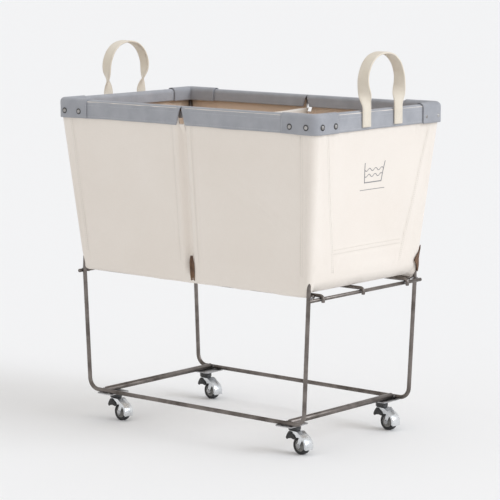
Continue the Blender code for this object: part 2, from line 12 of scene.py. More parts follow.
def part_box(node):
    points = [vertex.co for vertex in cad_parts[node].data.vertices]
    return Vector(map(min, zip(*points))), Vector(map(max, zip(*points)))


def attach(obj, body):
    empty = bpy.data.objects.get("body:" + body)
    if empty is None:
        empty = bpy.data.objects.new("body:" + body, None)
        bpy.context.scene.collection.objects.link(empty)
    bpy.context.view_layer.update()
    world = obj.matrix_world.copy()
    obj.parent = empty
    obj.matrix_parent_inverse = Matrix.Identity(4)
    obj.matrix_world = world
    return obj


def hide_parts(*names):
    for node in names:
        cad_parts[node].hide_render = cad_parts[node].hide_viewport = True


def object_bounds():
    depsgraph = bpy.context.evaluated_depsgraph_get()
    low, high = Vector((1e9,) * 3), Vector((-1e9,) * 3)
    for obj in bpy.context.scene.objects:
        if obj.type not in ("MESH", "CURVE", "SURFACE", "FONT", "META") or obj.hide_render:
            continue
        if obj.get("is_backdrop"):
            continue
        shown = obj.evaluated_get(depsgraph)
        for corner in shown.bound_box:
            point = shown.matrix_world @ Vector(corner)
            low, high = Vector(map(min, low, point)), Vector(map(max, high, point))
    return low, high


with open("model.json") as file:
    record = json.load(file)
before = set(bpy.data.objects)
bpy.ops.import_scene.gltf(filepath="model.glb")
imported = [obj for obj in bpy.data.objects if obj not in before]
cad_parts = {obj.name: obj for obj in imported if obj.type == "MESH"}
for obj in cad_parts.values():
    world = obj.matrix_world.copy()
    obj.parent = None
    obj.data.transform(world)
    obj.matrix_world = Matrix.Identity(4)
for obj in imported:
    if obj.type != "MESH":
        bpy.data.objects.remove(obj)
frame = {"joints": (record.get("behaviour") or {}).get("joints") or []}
cad_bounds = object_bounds()

# ------------------------------------------------------------------ places from the frame
ROOT = "frame_and_basket"
CORNERS = {"front_left": (-1, -1), "front_right": (1, -1),
           "rear_left": (-1, 1), "rear_right": (1, 1)}
TRIM_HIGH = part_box("trim_right")[1]
RIM_H = TRIM_HIGH[2]
TRIM_A, TRIM_B = TRIM_HIGH[0], TRIM_HIGH[1]          # outer face of the trim
TRIM_DROP, TRIM_DROP_IN = 0.042, 0.028               # how far it hangs down outside and inside
HOOP_LOW, HOOP_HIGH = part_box("rim_hoop")
WIRE_D = 0.0095
WIRE_R = WIRE_D / 2
ROD_R = 0.004
HOOP_A, HOOP_B = HOOP_HIGH[0] - WIRE_R, HOOP_HIGH[1] - WIRE_R
HOOP_Z = (HOOP_LOW[2] + HOOP_HIGH[2]) / 2
HOOP_R = 0.012
BAG_LOW, BAG_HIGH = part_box("canvas_basket")
BAG_TOP_A, BAG_TOP_B, BAG_TOP_Z = BAG_HIGH[0], BAG_HIGH[1], BAG_HIGH[2]
BAG_LOW_A, BAG_LOW_B = 0.3345, 0.1935
BAG_LOW_Z = BAG_LOW[2]
BAG_TOP_R, BAG_LOW_R = HOOP_R + BAG_TOP_A - HOOP_A, 0.012
FLOOR_Z = BAG_LOW_Z + 0.0085                          # underside of the bag's bottom
SHELF_LOW, SHELF_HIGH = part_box("shelf_end_rod_right")
SHELF_Z = (SHELF_LOW[2] + SHELF_HIGH[2]) / 2
SHELF_X = (SHELF_LOW[0] + SHELF_HIGH[0]) / 2
BASE_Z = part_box("side_frame_front")[0][2] + WIRE_R
DIVIDER_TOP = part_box("divider_panel")[1][2]
KING_X = 0.267                                        # kingpins from the middle


# ------------------------------------------------------------------ small maths helpers
def smooth(low, high, value):
    """Smooth step from 0 at low to 1 at high, for numbers or arrays."""
    t = np.clip((np.asarray(value, float) - low) / (high - low), 0.0, 1.0)
    return t * t * (3 - 2 * t)


def bump(value, centre, width):
    """Bell curve, 1 at the centre."""
    return np.exp(-((np.asarray(value, float) - centre) / width) ** 2)


class Cloud:
    """Smooth noise in two directions, the same on every run."""

    def __init__(self, seed, size=64):
        self.grid = np.random.RandomState(seed).uniform(-1, 1, (size, size))
        self.size = size

    def __call__(self, u, v):
        u, v = np.broadcast_arrays(np.asarray(u, float), np.asarray(v, float))
        i, j = np.floor(u).astype(int), np.floor(v).astype(int)
        fu, fv = u - i, v - j
        fu, fv = fu * fu * (3 - 2 * fu), fv * fv * (3 - 2 * fv)
        i, j = i % self.size, j % self.size
        k, m = (i + 1) % self.size, (j + 1) % self.size
        g = self.grid
        return ((g[i, j] * (1 - fu) + g[k, j] * fu) * (1 - fv)
                + (g[i, m] * (1 - fu) + g[k, m] * fu) * fv)


# ------------------------------------------------------------------ mesh helpers
def new_object(name, verts, faces, mats, uvs=None, flat=False):
    """A mesh object; uvs are given per vertex, in metres along the cloth."""
    mesh = bpy.data.meshes.new(name)
    mesh.from_pydata([tuple(map(float, v)) for v in verts], [], faces)
    if uvs is not None:
        layer = mesh.uv_layers.new(name="cloth")
        index = np.empty(len(mesh.loops), dtype=np.int32)
        mesh.loops.foreach_get("vertex_index", index)
        layer.uv.foreach_set("vector", np.asarray(uvs, np.float32)[index].ravel())
    for mat in mats if isinstance(mats, (list, tuple)) else [mats]:
        mesh.materials.append(mat)
    if not flat:
        mesh.shade_smooth()
    obj = bpy.data.objects.new(name, mesh)
    bpy.context.scene.collection.objects.link(obj)
    return obj


def face_out(obj, merge=0.0):
    """Make all faces of a closed mesh point out, after merging points that meet."""
    bm = bmesh.new()
    bm.from_mesh(obj.data)
    if merge:
        bmesh.ops.remove_doubles(bm, verts=bm.verts, dist=merge)
    bmesh.ops.recalc_face_normals(bm, faces=bm.faces)
    bm.to_mesh(obj.data)
    bm.free()


def grid_faces(rows, cols, wrap=False):
    """Quads of a grid of rows by cols vertices; wrap joins the last column to the first."""
    faces = []
    for r in range(rows - 1):
        for c in range(cols if wrap else cols - 1):
            d = (c + 1) % cols
            faces.append((r * cols + c, r * cols + d, (r + 1) * cols + d, (r + 1) * cols + c))
    return faces


def end_caps(ring, total):
    """The two flat end faces of a skin made of rings."""
    return [tuple(range(ring))[::-1], tuple(range(total - ring, total))]


def tube(name, path, radius, mat, sides=20, closed=False):
    """Round wire along a path; open ends get a small rounded cap."""
    path = [Vector(p) for p in path]
    radii = [radius] * len(path)
    if not closed:
        d0 = (path[0] - path[1]).normalized()
        d1 = (path[-1] - path[-2]).normalized()
        soft = radius * 0.25
        path = [path[0], path[0] - d0 * soft] + path[1:-1] + [path[-1] - d1 * soft, path[-1]]
        radii = [radius * 0.78, radii[0]] + radii[1:-1] + [radii[-1], radius * 0.78]
    count = len(path)
    verts, uvs, normal, run = [], [], None, 0.0
    for k, point in enumerate(path):
        before = path[k - 1] if (k > 0 or closed) else point
        after = path[(k + 1) % count] if (k + 1 < count or closed) else point
        tangent = (after - before).normalized()
        if normal is None:
            guide = Vector((0, 0, 1)) if abs(tangent.z) < 0.9 else Vector((1, 0, 0))
            normal = (guide - tangent * guide.dot(tangent)).normalized()
        else:
            normal = (normal - tangent * normal.dot(tangent)).normalized()
            run += (point - path[k - 1]).length
        side = tangent.cross(normal)
        for i in range(sides):
            turn = math.tau * i / sides
            verts.append(point + (normal * math.cos(turn) + side * math.sin(turn)) * radii[k])
            uvs.append((run, radius * turn))
    faces = grid_faces(count, sides, wrap=True)
    if closed:
        last = (count - 1) * sides
        faces += [(last + i, last + (i + 1) % sides, (i + 1) % sides, i) for i in range(sides)]
    else:
        faces += end_caps(sides, len(verts))
    obj = new_object(name, verts, faces, mat, uvs)
    face_out(obj)
    return obj


def bent_path(points, radius, steps=10):
    """A polyline with its inner corners rounded."""
    path = [Vector(points[0])]
    for before, corner, after in zip(points, points[1:], points[2:]):
        corner = Vector(corner)
        u = (Vector(before) - corner).normalized()
        v = (Vector(after) - corner).normalized()
        half = u.angle(v) / 2
        reach = radius / math.tan(half)
        centre = corner + (u + v).normalized() * (radius / math.sin(half))
        start = (corner + u * reach - centre).normalized()
        end = (corner + v * reach - centre).normalized()
        for k in range(steps + 1):
            path.append(centre + start.slerp(end, k / steps) * radius)
    path.append(Vector(points[-1]))
    return path


def join(name, objects):
    """Join several meshes into one object."""
    with bpy.context.temp_override(active_object=objects[0], object=objects[0],
                                   selected_objects=objects,
                                   selected_editable_objects=objects):
        bpy.ops.object.join()
    objects[0].name = name
    objects[0].data.name = name
    return objects[0]


def keep(obj, body, slot, *nodes):
    """Ride on a body and hide the CAD nodes it stands for; the slot argument is not used."""
    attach(obj, body)
    if nodes:
        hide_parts(*nodes)
    return obj


# ------------------------------------------------------------------ material helpers
class Nodes:
    """Short way to write a node tree."""

    def __init__(self, name, colour, rough, metal=0.0):
        self.mat = bpy.data.materials.new(name)
        self.mat.use_nodes = True
        self.tree = self.mat.node_tree
        self.shader = self.tree.nodes["Principled BSDF"]
        self.shader.inputs["Base Color"].default_value = (*colour, 1.0)
        self.shader.inputs["Roughness"].default_value = rough
        self.shader.inputs["Metallic"].default_value = metal

    def add(self, kind, inputs=None, **settings):
        node = self.tree.nodes.new(kind)
        for key, value in settings.items():
            setattr(node, key, value)
        for key, value in (inputs or {}).items():
            self.put(node, key, value)
        return node

    def put(self, node, key, value):
        socket = node.inputs[key]
        if hasattr(value, "is_output"):
            self.tree.links.new(value, socket)
        else:
            socket.default_value = value

    def math(self, operation, a, b=0.0, clamp=False):
        node = self.add("ShaderNodeMath", {0: a, 1: b}, operation=operation, use_clamp=clamp)
        return node.outputs[0]

    def object_at(self):
        return self.add("ShaderNodeTexCoord").outputs["Object"]

    def cloth_at(self):
        return self.add("ShaderNodeUVMap", uv_map="cloth").outputs["UV"]

    def noise(self, at, scale, detail=3.0, rough=0.55):
        node = self.add("ShaderNodeTexNoise",
                        {"Vector": at, "Scale": scale, "Detail": detail, "Roughness": rough})
        return node.outputs["Fac"]

    def stretch(self, at, scale):
        return self.add("ShaderNodeMapping", {"Vector": at, "Scale": scale}).outputs[0]

    def ramp(self, value, low, high, to_low=0.0, to_high=1.0):
        node = self.add("ShaderNodeMapRange", {"Value": value, "From Min": low,
                        "From Max": high, "To Min": to_low, "To Max": to_high})
        return node.outputs["Result"]

    def mix(self, fac, a, b):
        node = self.add("ShaderNodeMix", data_type="RGBA")
        self.put(node, "Factor", fac)
        for key, value in ((6, a), (7, b)):
            value = (*value, 1.0) if isinstance(value, tuple) and len(value) == 3 else value
            self.put(node, key, value)
        return node.outputs[2]

    def bump(self, height, strength, distance, normal=None):
        node = self.add("ShaderNodeBump", {"Height": height, "Strength": strength,
                                           "Distance": distance})
        if normal is not None:
            self.put(node, "Normal", normal)
        return node.outputs[0]

    def finish(self, colour=None, rough=None, normal=None, sheen=0.0, specular=None):
        if colour is not None:
            self.put(self.shader, "Base Color", colour)
        if rough is not None:
            self.put(self.shader, "Roughness", rough)
        if normal is not None:
            self.put(self.shader, "Normal", normal)
        self.shader.inputs["Sheen Weight"].default_value = sheen
        self.shader.inputs["Sheen Roughness"].default_value = 0.5
        if specular is not None:
            self.shader.inputs["Specular IOR Level"].default_value = specular
        return self.mat


def weave_height(n, at, pitch):
    """Plain weave: threads along both ways, passing over and under each other."""
    split = n.add("ShaderNodeSeparateXYZ", {0: at})
    turn = math.pi / pitch
    warp = n.math("MULTIPLY", split.outputs[0], turn)
    weft = n.math("MULTIPLY", split.outputs[1], turn)
    over = n.math("MULTIPLY", n.math("SINE", warp), n.math("SINE", weft))
    ribs_a = n.math("ABSOLUTE", n.math("SINE", warp))
    ribs_b = n.math("ABSOLUTE", n.math("SINE", weft))
    up = n.math("MULTIPLY", ribs_a, n.math("MULTIPLY_ADD", over, 0.5))
    down = n.math("MULTIPLY", ribs_b, n.math("MULTIPLY_ADD", over, -0.5))
    return n.math("ADD", up, n.math("ADD", down, 0.0))


def cloth_material(name, colour, dark, pitch=0.0011, bump_size=0.00035, cloud=5.0, sheen=0.25):
    """Cotton cloth: plain weave, slubs in the yarn and a faint unevenness of colour."""
    n = Nodes(name, colour, 0.9)
    at = n.cloth_at()
    place = n.object_at()
    weave = weave_height(n, at, pitch)
    slub_x = n.noise(n.stretch(at, (60.0, 900.0, 1.0)), 1.0, 2.0)
    slub_y = n.noise(n.stretch(at, (900.0, 60.0, 1.0)), 1.0, 2.0)
    slub = n.math("ADD", slub_x, slub_y)
    patches = n.noise(place, cloud, 4.0)
    tone = n.math("ADD", n.ramp(patches, 0.3, 0.7, 0.0, 0.45), n.ramp(slub, 0.7, 1.3, 0.0, 0.35),
                  clamp=True)
    shade = n.mix(tone, colour, dark)
    height = n.math("ADD", weave, n.math("MULTIPLY", slub, 0.6))
    first = n.bump(height, 0.5, bump_size)
    soft = n.noise(place, 55.0, 3.0)
    normal = n.bump(soft, 0.25, 0.0012, first)
    return n.finish(shade, n.ramp(patches, 0.3, 0.7, 0.84, 0.95), normal, sheen=sheen,
                    specular=0.25)


def metal_material(name, colour, dark, rough, brushed=0.0, bump_size=0.00008):
    """Drawn or plated metal: fine scratches, uneven gloss and darker stains."""
    n = Nodes(name, colour, rough, 1.0)
    at = n.object_at()
    stain = n.noise(at, 22.0, 5.0, 0.6)
    fine = n.noise(n.stretch(at, (1.0 + brushed * 30, 1.0, 1.0)), 420.0, 2.0)
    shade = n.mix(n.ramp(stain, 0.42, 0.68), colour, dark)
    gloss = n.math("ADD", n.ramp(stain, 0.3, 0.7, rough * 0.8, rough * 1.35),
                   n.ramp(fine, 0.3, 0.7, -0.04, 0.06))
    normal = n.bump(fine, 0.3, bump_size)
    return n.finish(shade, gloss, normal)


# ------------------------------------------------------------------ the bag's outline
def up_wall(z):
    """0 at the bottom edge of the bag, 1 from the underside of the hoop upwards."""
    top = HOOP_Z - WIRE_R
    return (np.minimum(z, top) - BAG_LOW_Z) / (top - BAG_LOW_Z)


def wall_size(z):
    """Half length, half width and corner radius of the outside of the bag."""
    t = up_wall(z)
    return (BAG_LOW_A + (BAG_TOP_A - BAG_LOW_A) * t, BAG_LOW_B + (BAG_TOP_B - BAG_LOW_B) * t,
            BAG_LOW_R + (BAG_TOP_R - BAG_LOW_R) * t)


def perimeter(cell_long=0.0035, arc_cells=14):
    """Columns round the bag, anticlockwise from the front left.  Each is (kind, share),
    with kind 0 front, 1 right end, 2 back, 3 left end, and 4 to 7 the corners after them."""
    long_cells = int(round(2 * BAG_TOP_A / cell_long))
    short_cells = int(round(2 * BAG_TOP_B / cell_long))
    kinds, shares = [], []
    for side in range(4):
        cells = long_cells if side % 2 == 0 else short_cells
        for k in range(cells):
            kinds.append(side)
            shares.append(k / cells)
        for k in range(arc_cells):
            kinds.append(4 + side)
            shares.append(k / arc_cells)
    return np.array(kinds), np.array(shares)


def outline_point(kind, share, a, b, r):
    """Place and outward direction on a rounded rectangle; all arguments are arrays."""
    x, y, nx, ny = (np.zeros(np.broadcast(kind, a).shape) for _ in range(4))
    along = 2 * share - 1
    sides = ((0, along * (a - r), -b, 0, -1), (1, a, along * (b - r), 1, 0),
             (2, -along * (a - r), b, 0, 1), (3, -a, -along * (b - r), -1, 0))
    for side, px, py, ux, uy in sides:
        here = kind == side
        x, y = np.where(here, px, x), np.where(here, py, y)
        nx, ny = np.where(here, ux, nx), np.where(here, uy, ny)
    for side, sx, sy, start in ((4, 1, -1, -90), (5, 1, 1, 0), (6, -1, 1, 90), (7, -1, -1, 180)):
        here = kind == side
        turn = np.radians(start + 90 * share)
        x = np.where(here, sx * (a - r) + r * np.cos(turn), x)
        y = np.where(here, sy * (b - r) + r * np.sin(turn), y)
        nx = np.where(here, np.cos(turn), nx)
        ny = np.where(here, np.sin(turn), ny)
    return x, y, nx, ny


# ------------------------------------------------------------------ canvas bag
CANVAS_T = 0.002
CHANNEL_DEPTH = 0.010
TRIM_LOW_Z = RIM_H - TRIM_DROP
CREASE_FROM, CREASE_TO = (0.095, 0.602), (0.300, 0.492)   # x and z on the front right panel
END_SEAM_Z = 0.450
WALL_NOISE = Cloud(11)


def channel_fade(z):
    """The valley fades out under the trim and at the bottom edge."""
    return (np.clip((RIM_H - 0.018 - z) / 0.03, 0, 1)
            * np.clip((z - BAG_LOW_Z - 0.004) / 0.03, 0, 1))


def strip_width(z, on_end):
    """How far the leg sleeve reaches from the corner, on the ends and on the long walls."""
    down = (0.684 - z) / 0.224
    return np.where(on_end, 0.048 + 0.027 * down, 0.040 - 0.009 * down)


def hollow_share(x, y, z, on_long):
    """0 at the edges of a wall and 1 in the middle, where the cloth sinks in most."""
    a, b, r = wall_size(z)
    across_long = np.clip((np.abs(x) - 0.035) / (a - 0.035 - r), 0, 1)
    across_end = np.clip((b - np.abs(y) - r) / (b - r), 0, 1)
    return np.where(on_long, np.sin(math.pi * across_long) ** 0.8, smooth(0.0, 0.9, across_end))


def valley_relief(x, z):
    """The valley of a long wall, with a raised shoulder and a stitched dip on each side."""
    away = np.abs(x)
    valley = 1 - smooth(0.0045, 0.0145, away)
    shoulder = bump(away, 0.0215, 0.0065) - 0.5 * bump(away, 0.0305, 0.0022)
    return (0.0024 * shoulder - CHANNEL_DEPTH * valley) * channel_fade(z)


def crease_relief(x, z, kind):
    """One long slanted crease on the front wall."""
    (x0, z0), (x1, z1) = CREASE_FROM, CREASE_TO
    length = math.hypot(x1 - x0, z1 - z0)
    ux, uz = (x1 - x0) / length, (z1 - z0) / length
    run = ((x - x0) * ux + (z - z0) * uz) / length
    off = (x - x0) * uz - (z - z0) * ux + 0.006 * np.sin(run * 5.0)
    window = smooth(-0.1, 0.3, run) * smooth(1.15, 0.75, run) * (kind == 0)
    return window * (0.0016 * bump(off, 0.0, 0.009) - 0.0012 * bump(off, 0.018, 0.010))


def gather_relief(x, y, z, along, on_long, on_end):
    """Small gathers where the cloth goes under the trim, deeper near the corners."""
    near = smooth(0.23, 0.35, np.abs(x)) * on_long + smooth(0.09, 0.19, np.abs(y)) * on_end
    pucker = np.sin(along * math.tau / 0.021 + 1.3 * np.sin(along * 60))
    everywhere = np.sin(along * math.tau / 0.034 + 2 * np.sin(along * 17))
    return (0.0009 * pucker * bump(z, TRIM_LOW_Z - 0.004, 0.022) * near
            + 0.0004 * everywhere * bump(z, TRIM_LOW_Z - 0.002, 0.012))


def hem_relief(z):
    """The seam across an end wall, with the doubled cloth below it."""
    hem = smooth(END_SEAM_Z + 0.0008, END_SEAM_Z - 0.0008, z)
    hem = hem - 0.8 * bump(z, END_SEAM_Z + 0.0022, 0.002)
    return 0.0009 * (hem - 0.9 * bump(z, END_SEAM_Z - 0.0135, 0.0016))


def wall_relief(x, y, z, kind):
    """How far the cloth stands out from the plain wall, in metres."""
    on_long = (kind == 0) | (kind == 2)
    on_end = (kind == 1) | (kind == 3)
    on_wall = on_long | on_end
    a, b, _ = wall_size(z)
    free = smooth(BAG_LOW_Z + 0.004, BAG_LOW_Z + 0.12, z) * smooth(TRIM_LOW_Z, TRIM_LOW_Z - 0.10, z)
    sink = hollow_share(x, y, z, on_long)
    along = np.where(on_long, x, y + 3.1)
    soft = WALL_NOISE(along * 9 + 5 + kind * 7, z * 7)
    soft = soft + 0.5 * WALL_NOISE(along * 23 + kind * 5, z * 17)
    relief = 0.0013 * soft * (0.25 + 0.75 * free) * (sink > 0) - 0.0045 * sink * free
    sleeve = strip_width(z, on_end)
    from_corner = np.where(on_long, a - np.abs(x), b - np.abs(y))
    edge = smooth(sleeve + 0.0008, sleeve - 0.0008, from_corner)
    relief = relief + np.where(on_wall, 0.0008 * edge, 0.0008)
    relief = relief - 0.0010 * bump(from_corner, sleeve + 0.0022, 0.0022) * on_wall
    relief = relief - 0.0015 * bump(from_corner, sleeve * 0.55, 0.012) * on_wall * free
    relief = relief + np.where(on_long, valley_relief(x, z), 0.0)
    relief = relief + crease_relief(x, z, kind)
    relief = relief + gather_relief(x, y, z, along, on_long, on_end)
    return relief + np.where(on_end, hem_relief(z) * (edge < 0.5), 0.0)


def top_edge(x, kind):
    """Height of the upper edge: the canvas is notched where the two trim halves meet."""
    on_long = (kind == 0) | (kind == 2)
    return BAG_TOP_Z - np.where(on_long, 0.036 * smooth(0.012, 0.007, np.abs(x)), 0.0)


def spline(points, count):
    """Catmull-Rom curve through points, sampled count times."""
    p = np.asarray(points, float)
    p = np.vstack([2 * p[0] - p[1], p, 2 * p[-1] - p[-2]])
    t = np.linspace(0, len(p) - 3 - 1e-9, count)
    i = t.astype(int)
    f = (t - i)[:, None]
    p0, p1, p2, p3 = p[i], p[i + 1], p[i + 2], p[i + 3]
    return 0.5 * (2 * p1 + (p2 - p0) * f + (2 * p0 - 5 * p1 + 4 * p2 - p3) * f ** 2
                  + (3 * p1 - p0 - 3 * p2 + p3) * f ** 3)


def shell(obj, thickness, rim_mat=0, inner_mat=0, offset=-1.0):
    """Give an open surface a thickness and apply it."""
    mod = obj.modifiers.new("shell", "SOLIDIFY")
    mod.thickness = thickness
    mod.offset = offset
    mod.use_quality_normals = True
    mod.material_offset = inner_mat
    mod.material_offset_rim = rim_mat
    return apply_all(obj)


def apply_all(obj):
    """Replace the mesh by its evaluated one, with no modifier left."""
    graph = bpy.context.evaluated_depsgraph_get()
    graph.update()
    mesh = bpy.data.meshes.new_from_object(obj.evaluated_get(graph), depsgraph=graph)
    obj.modifiers.clear()
    old, obj.data = obj.data, mesh
    mesh.name = obj.name
    bpy.data.meshes.remove(old)
    return obj


LONG_EDGE = ((0.0, 0.003), (0.0015, -0.0045), (0.006, -0.0085), (0.012, -0.0065), (0.019, 0.0))
END_EDGE = ((0.0, 0.032), (0.002, 0.021), (0.007, 0.0115), (0.014, 0.004), (0.022, 0.0))


def make_bag(mat, inner_mat):
    """Walls, rounded bottom edge and bottom as one sheet, then both sides of the cloth."""
    kind, share = perimeter(0.005, 10)
    long_weight = np.select([(kind == 0) | (kind == 2), (kind == 1) | (kind == 3),
                             (kind == 4) | (kind == 6)],
                            [1.0, 0.0, np.cos(share * math.pi / 2)],
                            np.sin(share * math.pi / 2))
    start_z = FLOOR_Z + END_EDGE[0][1] + (LONG_EDGE[0][1] - END_EDGE[0][1]) * long_weight
    top_x = outline_point(kind, share, BAG_TOP_A, BAG_TOP_B, BAG_TOP_R)[0]
    high = top_edge(top_x, kind)
    t = np.linspace(0, 1, 78)[:, None]
    z = high + (start_z - high) * t
    a, b, r = wall_size(z)
    kinds, shares = np.broadcast_to(kind, z.shape), np.broadcast_to(share, z.shape)
    x, y, nx, ny = outline_point(kinds, shares, a, b, r)
    out = wall_relief(x, y, z, kinds) * smooth(0.0, 0.06, t) * smooth(1.0, 0.93, t)
    rows = [np.dstack([x + nx * out, y + ny * out, z])]
    long_edge, end_edge = spline(LONG_EDGE, 14)[1:], spline(END_EDGE, 14)[1:]
    low_a, low_b = wall_size(FLOOR_Z + END_EDGE[0][1])[0], wall_size(FLOOR_Z + LONG_EDGE[0][1])[1]
    wave = 0.0012 * WALL_NOISE(np.arange(len(kind)) * 0.11, 2.0)
    for (d_long, z_long), (d_end, z_end) in zip(long_edge, end_edge):
        px, py, _, _ = outline_point(kind, share, low_a - d_end, low_b - d_long, BAG_LOW_R)
        fade = bump(d_long, 0.006, 0.006)
        rows.append(np.dstack([px, py, FLOOR_Z + z_end + (z_long - z_end) * long_weight
                               + wave * fade]))
    wall_rows = z.shape[0] + len(long_edge)
    core_x = np.clip(px, -(low_a - 0.06), low_a - 0.06) * 0.94
    for k in range(1, 19):
        s = k / 18 * 0.97
        fx, fy = px + (core_x - px) * s, py * (1 - s)
        sag = 0.0006 * WALL_NOISE(fx * 14 + 9, fy * 14 + 9) * smooth(0, 0.2, s)
        rows.append(np.dstack([fx, fy, FLOOR_Z + 0.0004 + sag]))
    grid = np.vstack([row.reshape(-1, len(kind), 3) for row in rows])
    count = len(kind)
    verts = grid.reshape(-1, 3)
    faces = [f[::-1] for f in grid_faces(len(grid), count, wrap=True)]
    last = (len(grid) - 1) * count
    faces.append(tuple(range(last, last + count))[::-1])
    bag = new_object("canvas_basket_cloth", verts, faces, [mat, inner_mat])
    face_out_open(bag)
    step = np.hypot(np.diff(x[0], append=x[0][0]), np.diff(y[0], append=y[0][0]))
    arc = np.concatenate([[0.0], np.cumsum(step)[:-1]])
    total = float(step.sum())
    wall_uv = np.dstack([np.broadcast_to(arc, grid.shape[:2]), grid[:, :, 2]]).reshape(-1, 2)
    set_cloth_uv(bag, wall_uv, verts[:, :2], wall_rows * count, total)
    # The inner faces take the tan inside colour, which is painted warm shade
    shell(bag, CANVAS_T, inner_mat=1)
    bag.data.shade_smooth()
    return bag


def face_out_open(obj):
    """Turn an open skin so that its wall faces look away from the middle."""
    mesh = obj.data
    middle = mesh.polygons[len(mesh.polygons) // 3]
    centre = Vector((0, 0, 0))
    for v in mesh.vertices:
        centre += v.co
    centre /= len(mesh.vertices)
    if middle.normal.dot(middle.center - centre) < 0:
        mesh.flip_normals()


def set_cloth_uv(obj, wall_uv, floor_uv, floor_start, total):
    """Cloth coordinates in metres: round the wall and up, or flat on the bottom."""
    mesh = obj.data
    layer = mesh.uv_layers.new(name="cloth")
    index = np.empty(len(mesh.loops), dtype=np.int32)
    mesh.loops.foreach_get("vertex_index", index)
    starts = np.empty(len(mesh.polygons), dtype=np.int32)
    sizes = np.empty(len(mesh.polygons), dtype=np.int32)
    mesh.polygons.foreach_get("loop_start", starts)
    mesh.polygons.foreach_get("loop_total", sizes)
    face_of = np.repeat(np.arange(len(starts)), sizes)
    lowest = np.full(len(starts), len(mesh.vertices))
    np.minimum.at(lowest, face_of, index)
    highest_u = np.zeros(len(starts))
    np.maximum.at(highest_u, face_of, wall_uv[index, 0])
    uv = wall_uv[index].copy()
    wraps = (highest_u[face_of] - uv[:, 0]) > total / 2
    uv[wraps, 0] += total
    on_floor = lowest[face_of] >= floor_start - 1
    uv[on_floor] = floor_uv[index[on_floor]]
    layer.uv.foreach_set("vector", uv.astype(np.float32).ravel())


def make_divider(mat):
    """Slack sheet between the two valleys, with a folded hem along its top."""
    columns, rows = 76, 74
    low, high = FLOOR_Z + 0.0026, DIVIDER_TOP
    s = np.linspace(-1, 1, columns)[None, :]
    t = np.linspace(0, 1, rows)[:, None]
    z_top = high - 0.003 * (1 - s ** 2) + 0.0005 * np.sin(s * 9)
    z = low + (z_top - low) * t
    half = wall_size(z)[1] - CANVAS_T - CHANNEL_DEPTH * channel_fade(z) - 0.0008
    half = half - 0.019 * smooth(0.012, 0.0, z - low)
    y = s * half
    slack = np.cos(s * math.pi / 2) ** 0.7
    x = (0.0035 * np.sin(2.2 * s + 1.1 + 2.0 * t) + 0.0022 * WALL_NOISE(s * 2.5 + 3, t * 3)
         + 0.0009 * WALL_NOISE(s * 7, t * 8)) * slack * smooth(0.0, 0.2, t)
    hem = smooth(z_top - 0.0185, z_top - 0.0175, z) - 0.7 * bump(z, z_top - 0.0195, 0.0012)
    points = np.dstack([x + 0.0005 * hem, y, z]).reshape(-1, 3)
    obj = new_object("divider_cloth", points, grid_faces(rows, columns), mat,
                     np.dstack([y, z]).reshape(-1, 2))
    shell(obj, CANVAS_T, offset=0.0)
    return obj


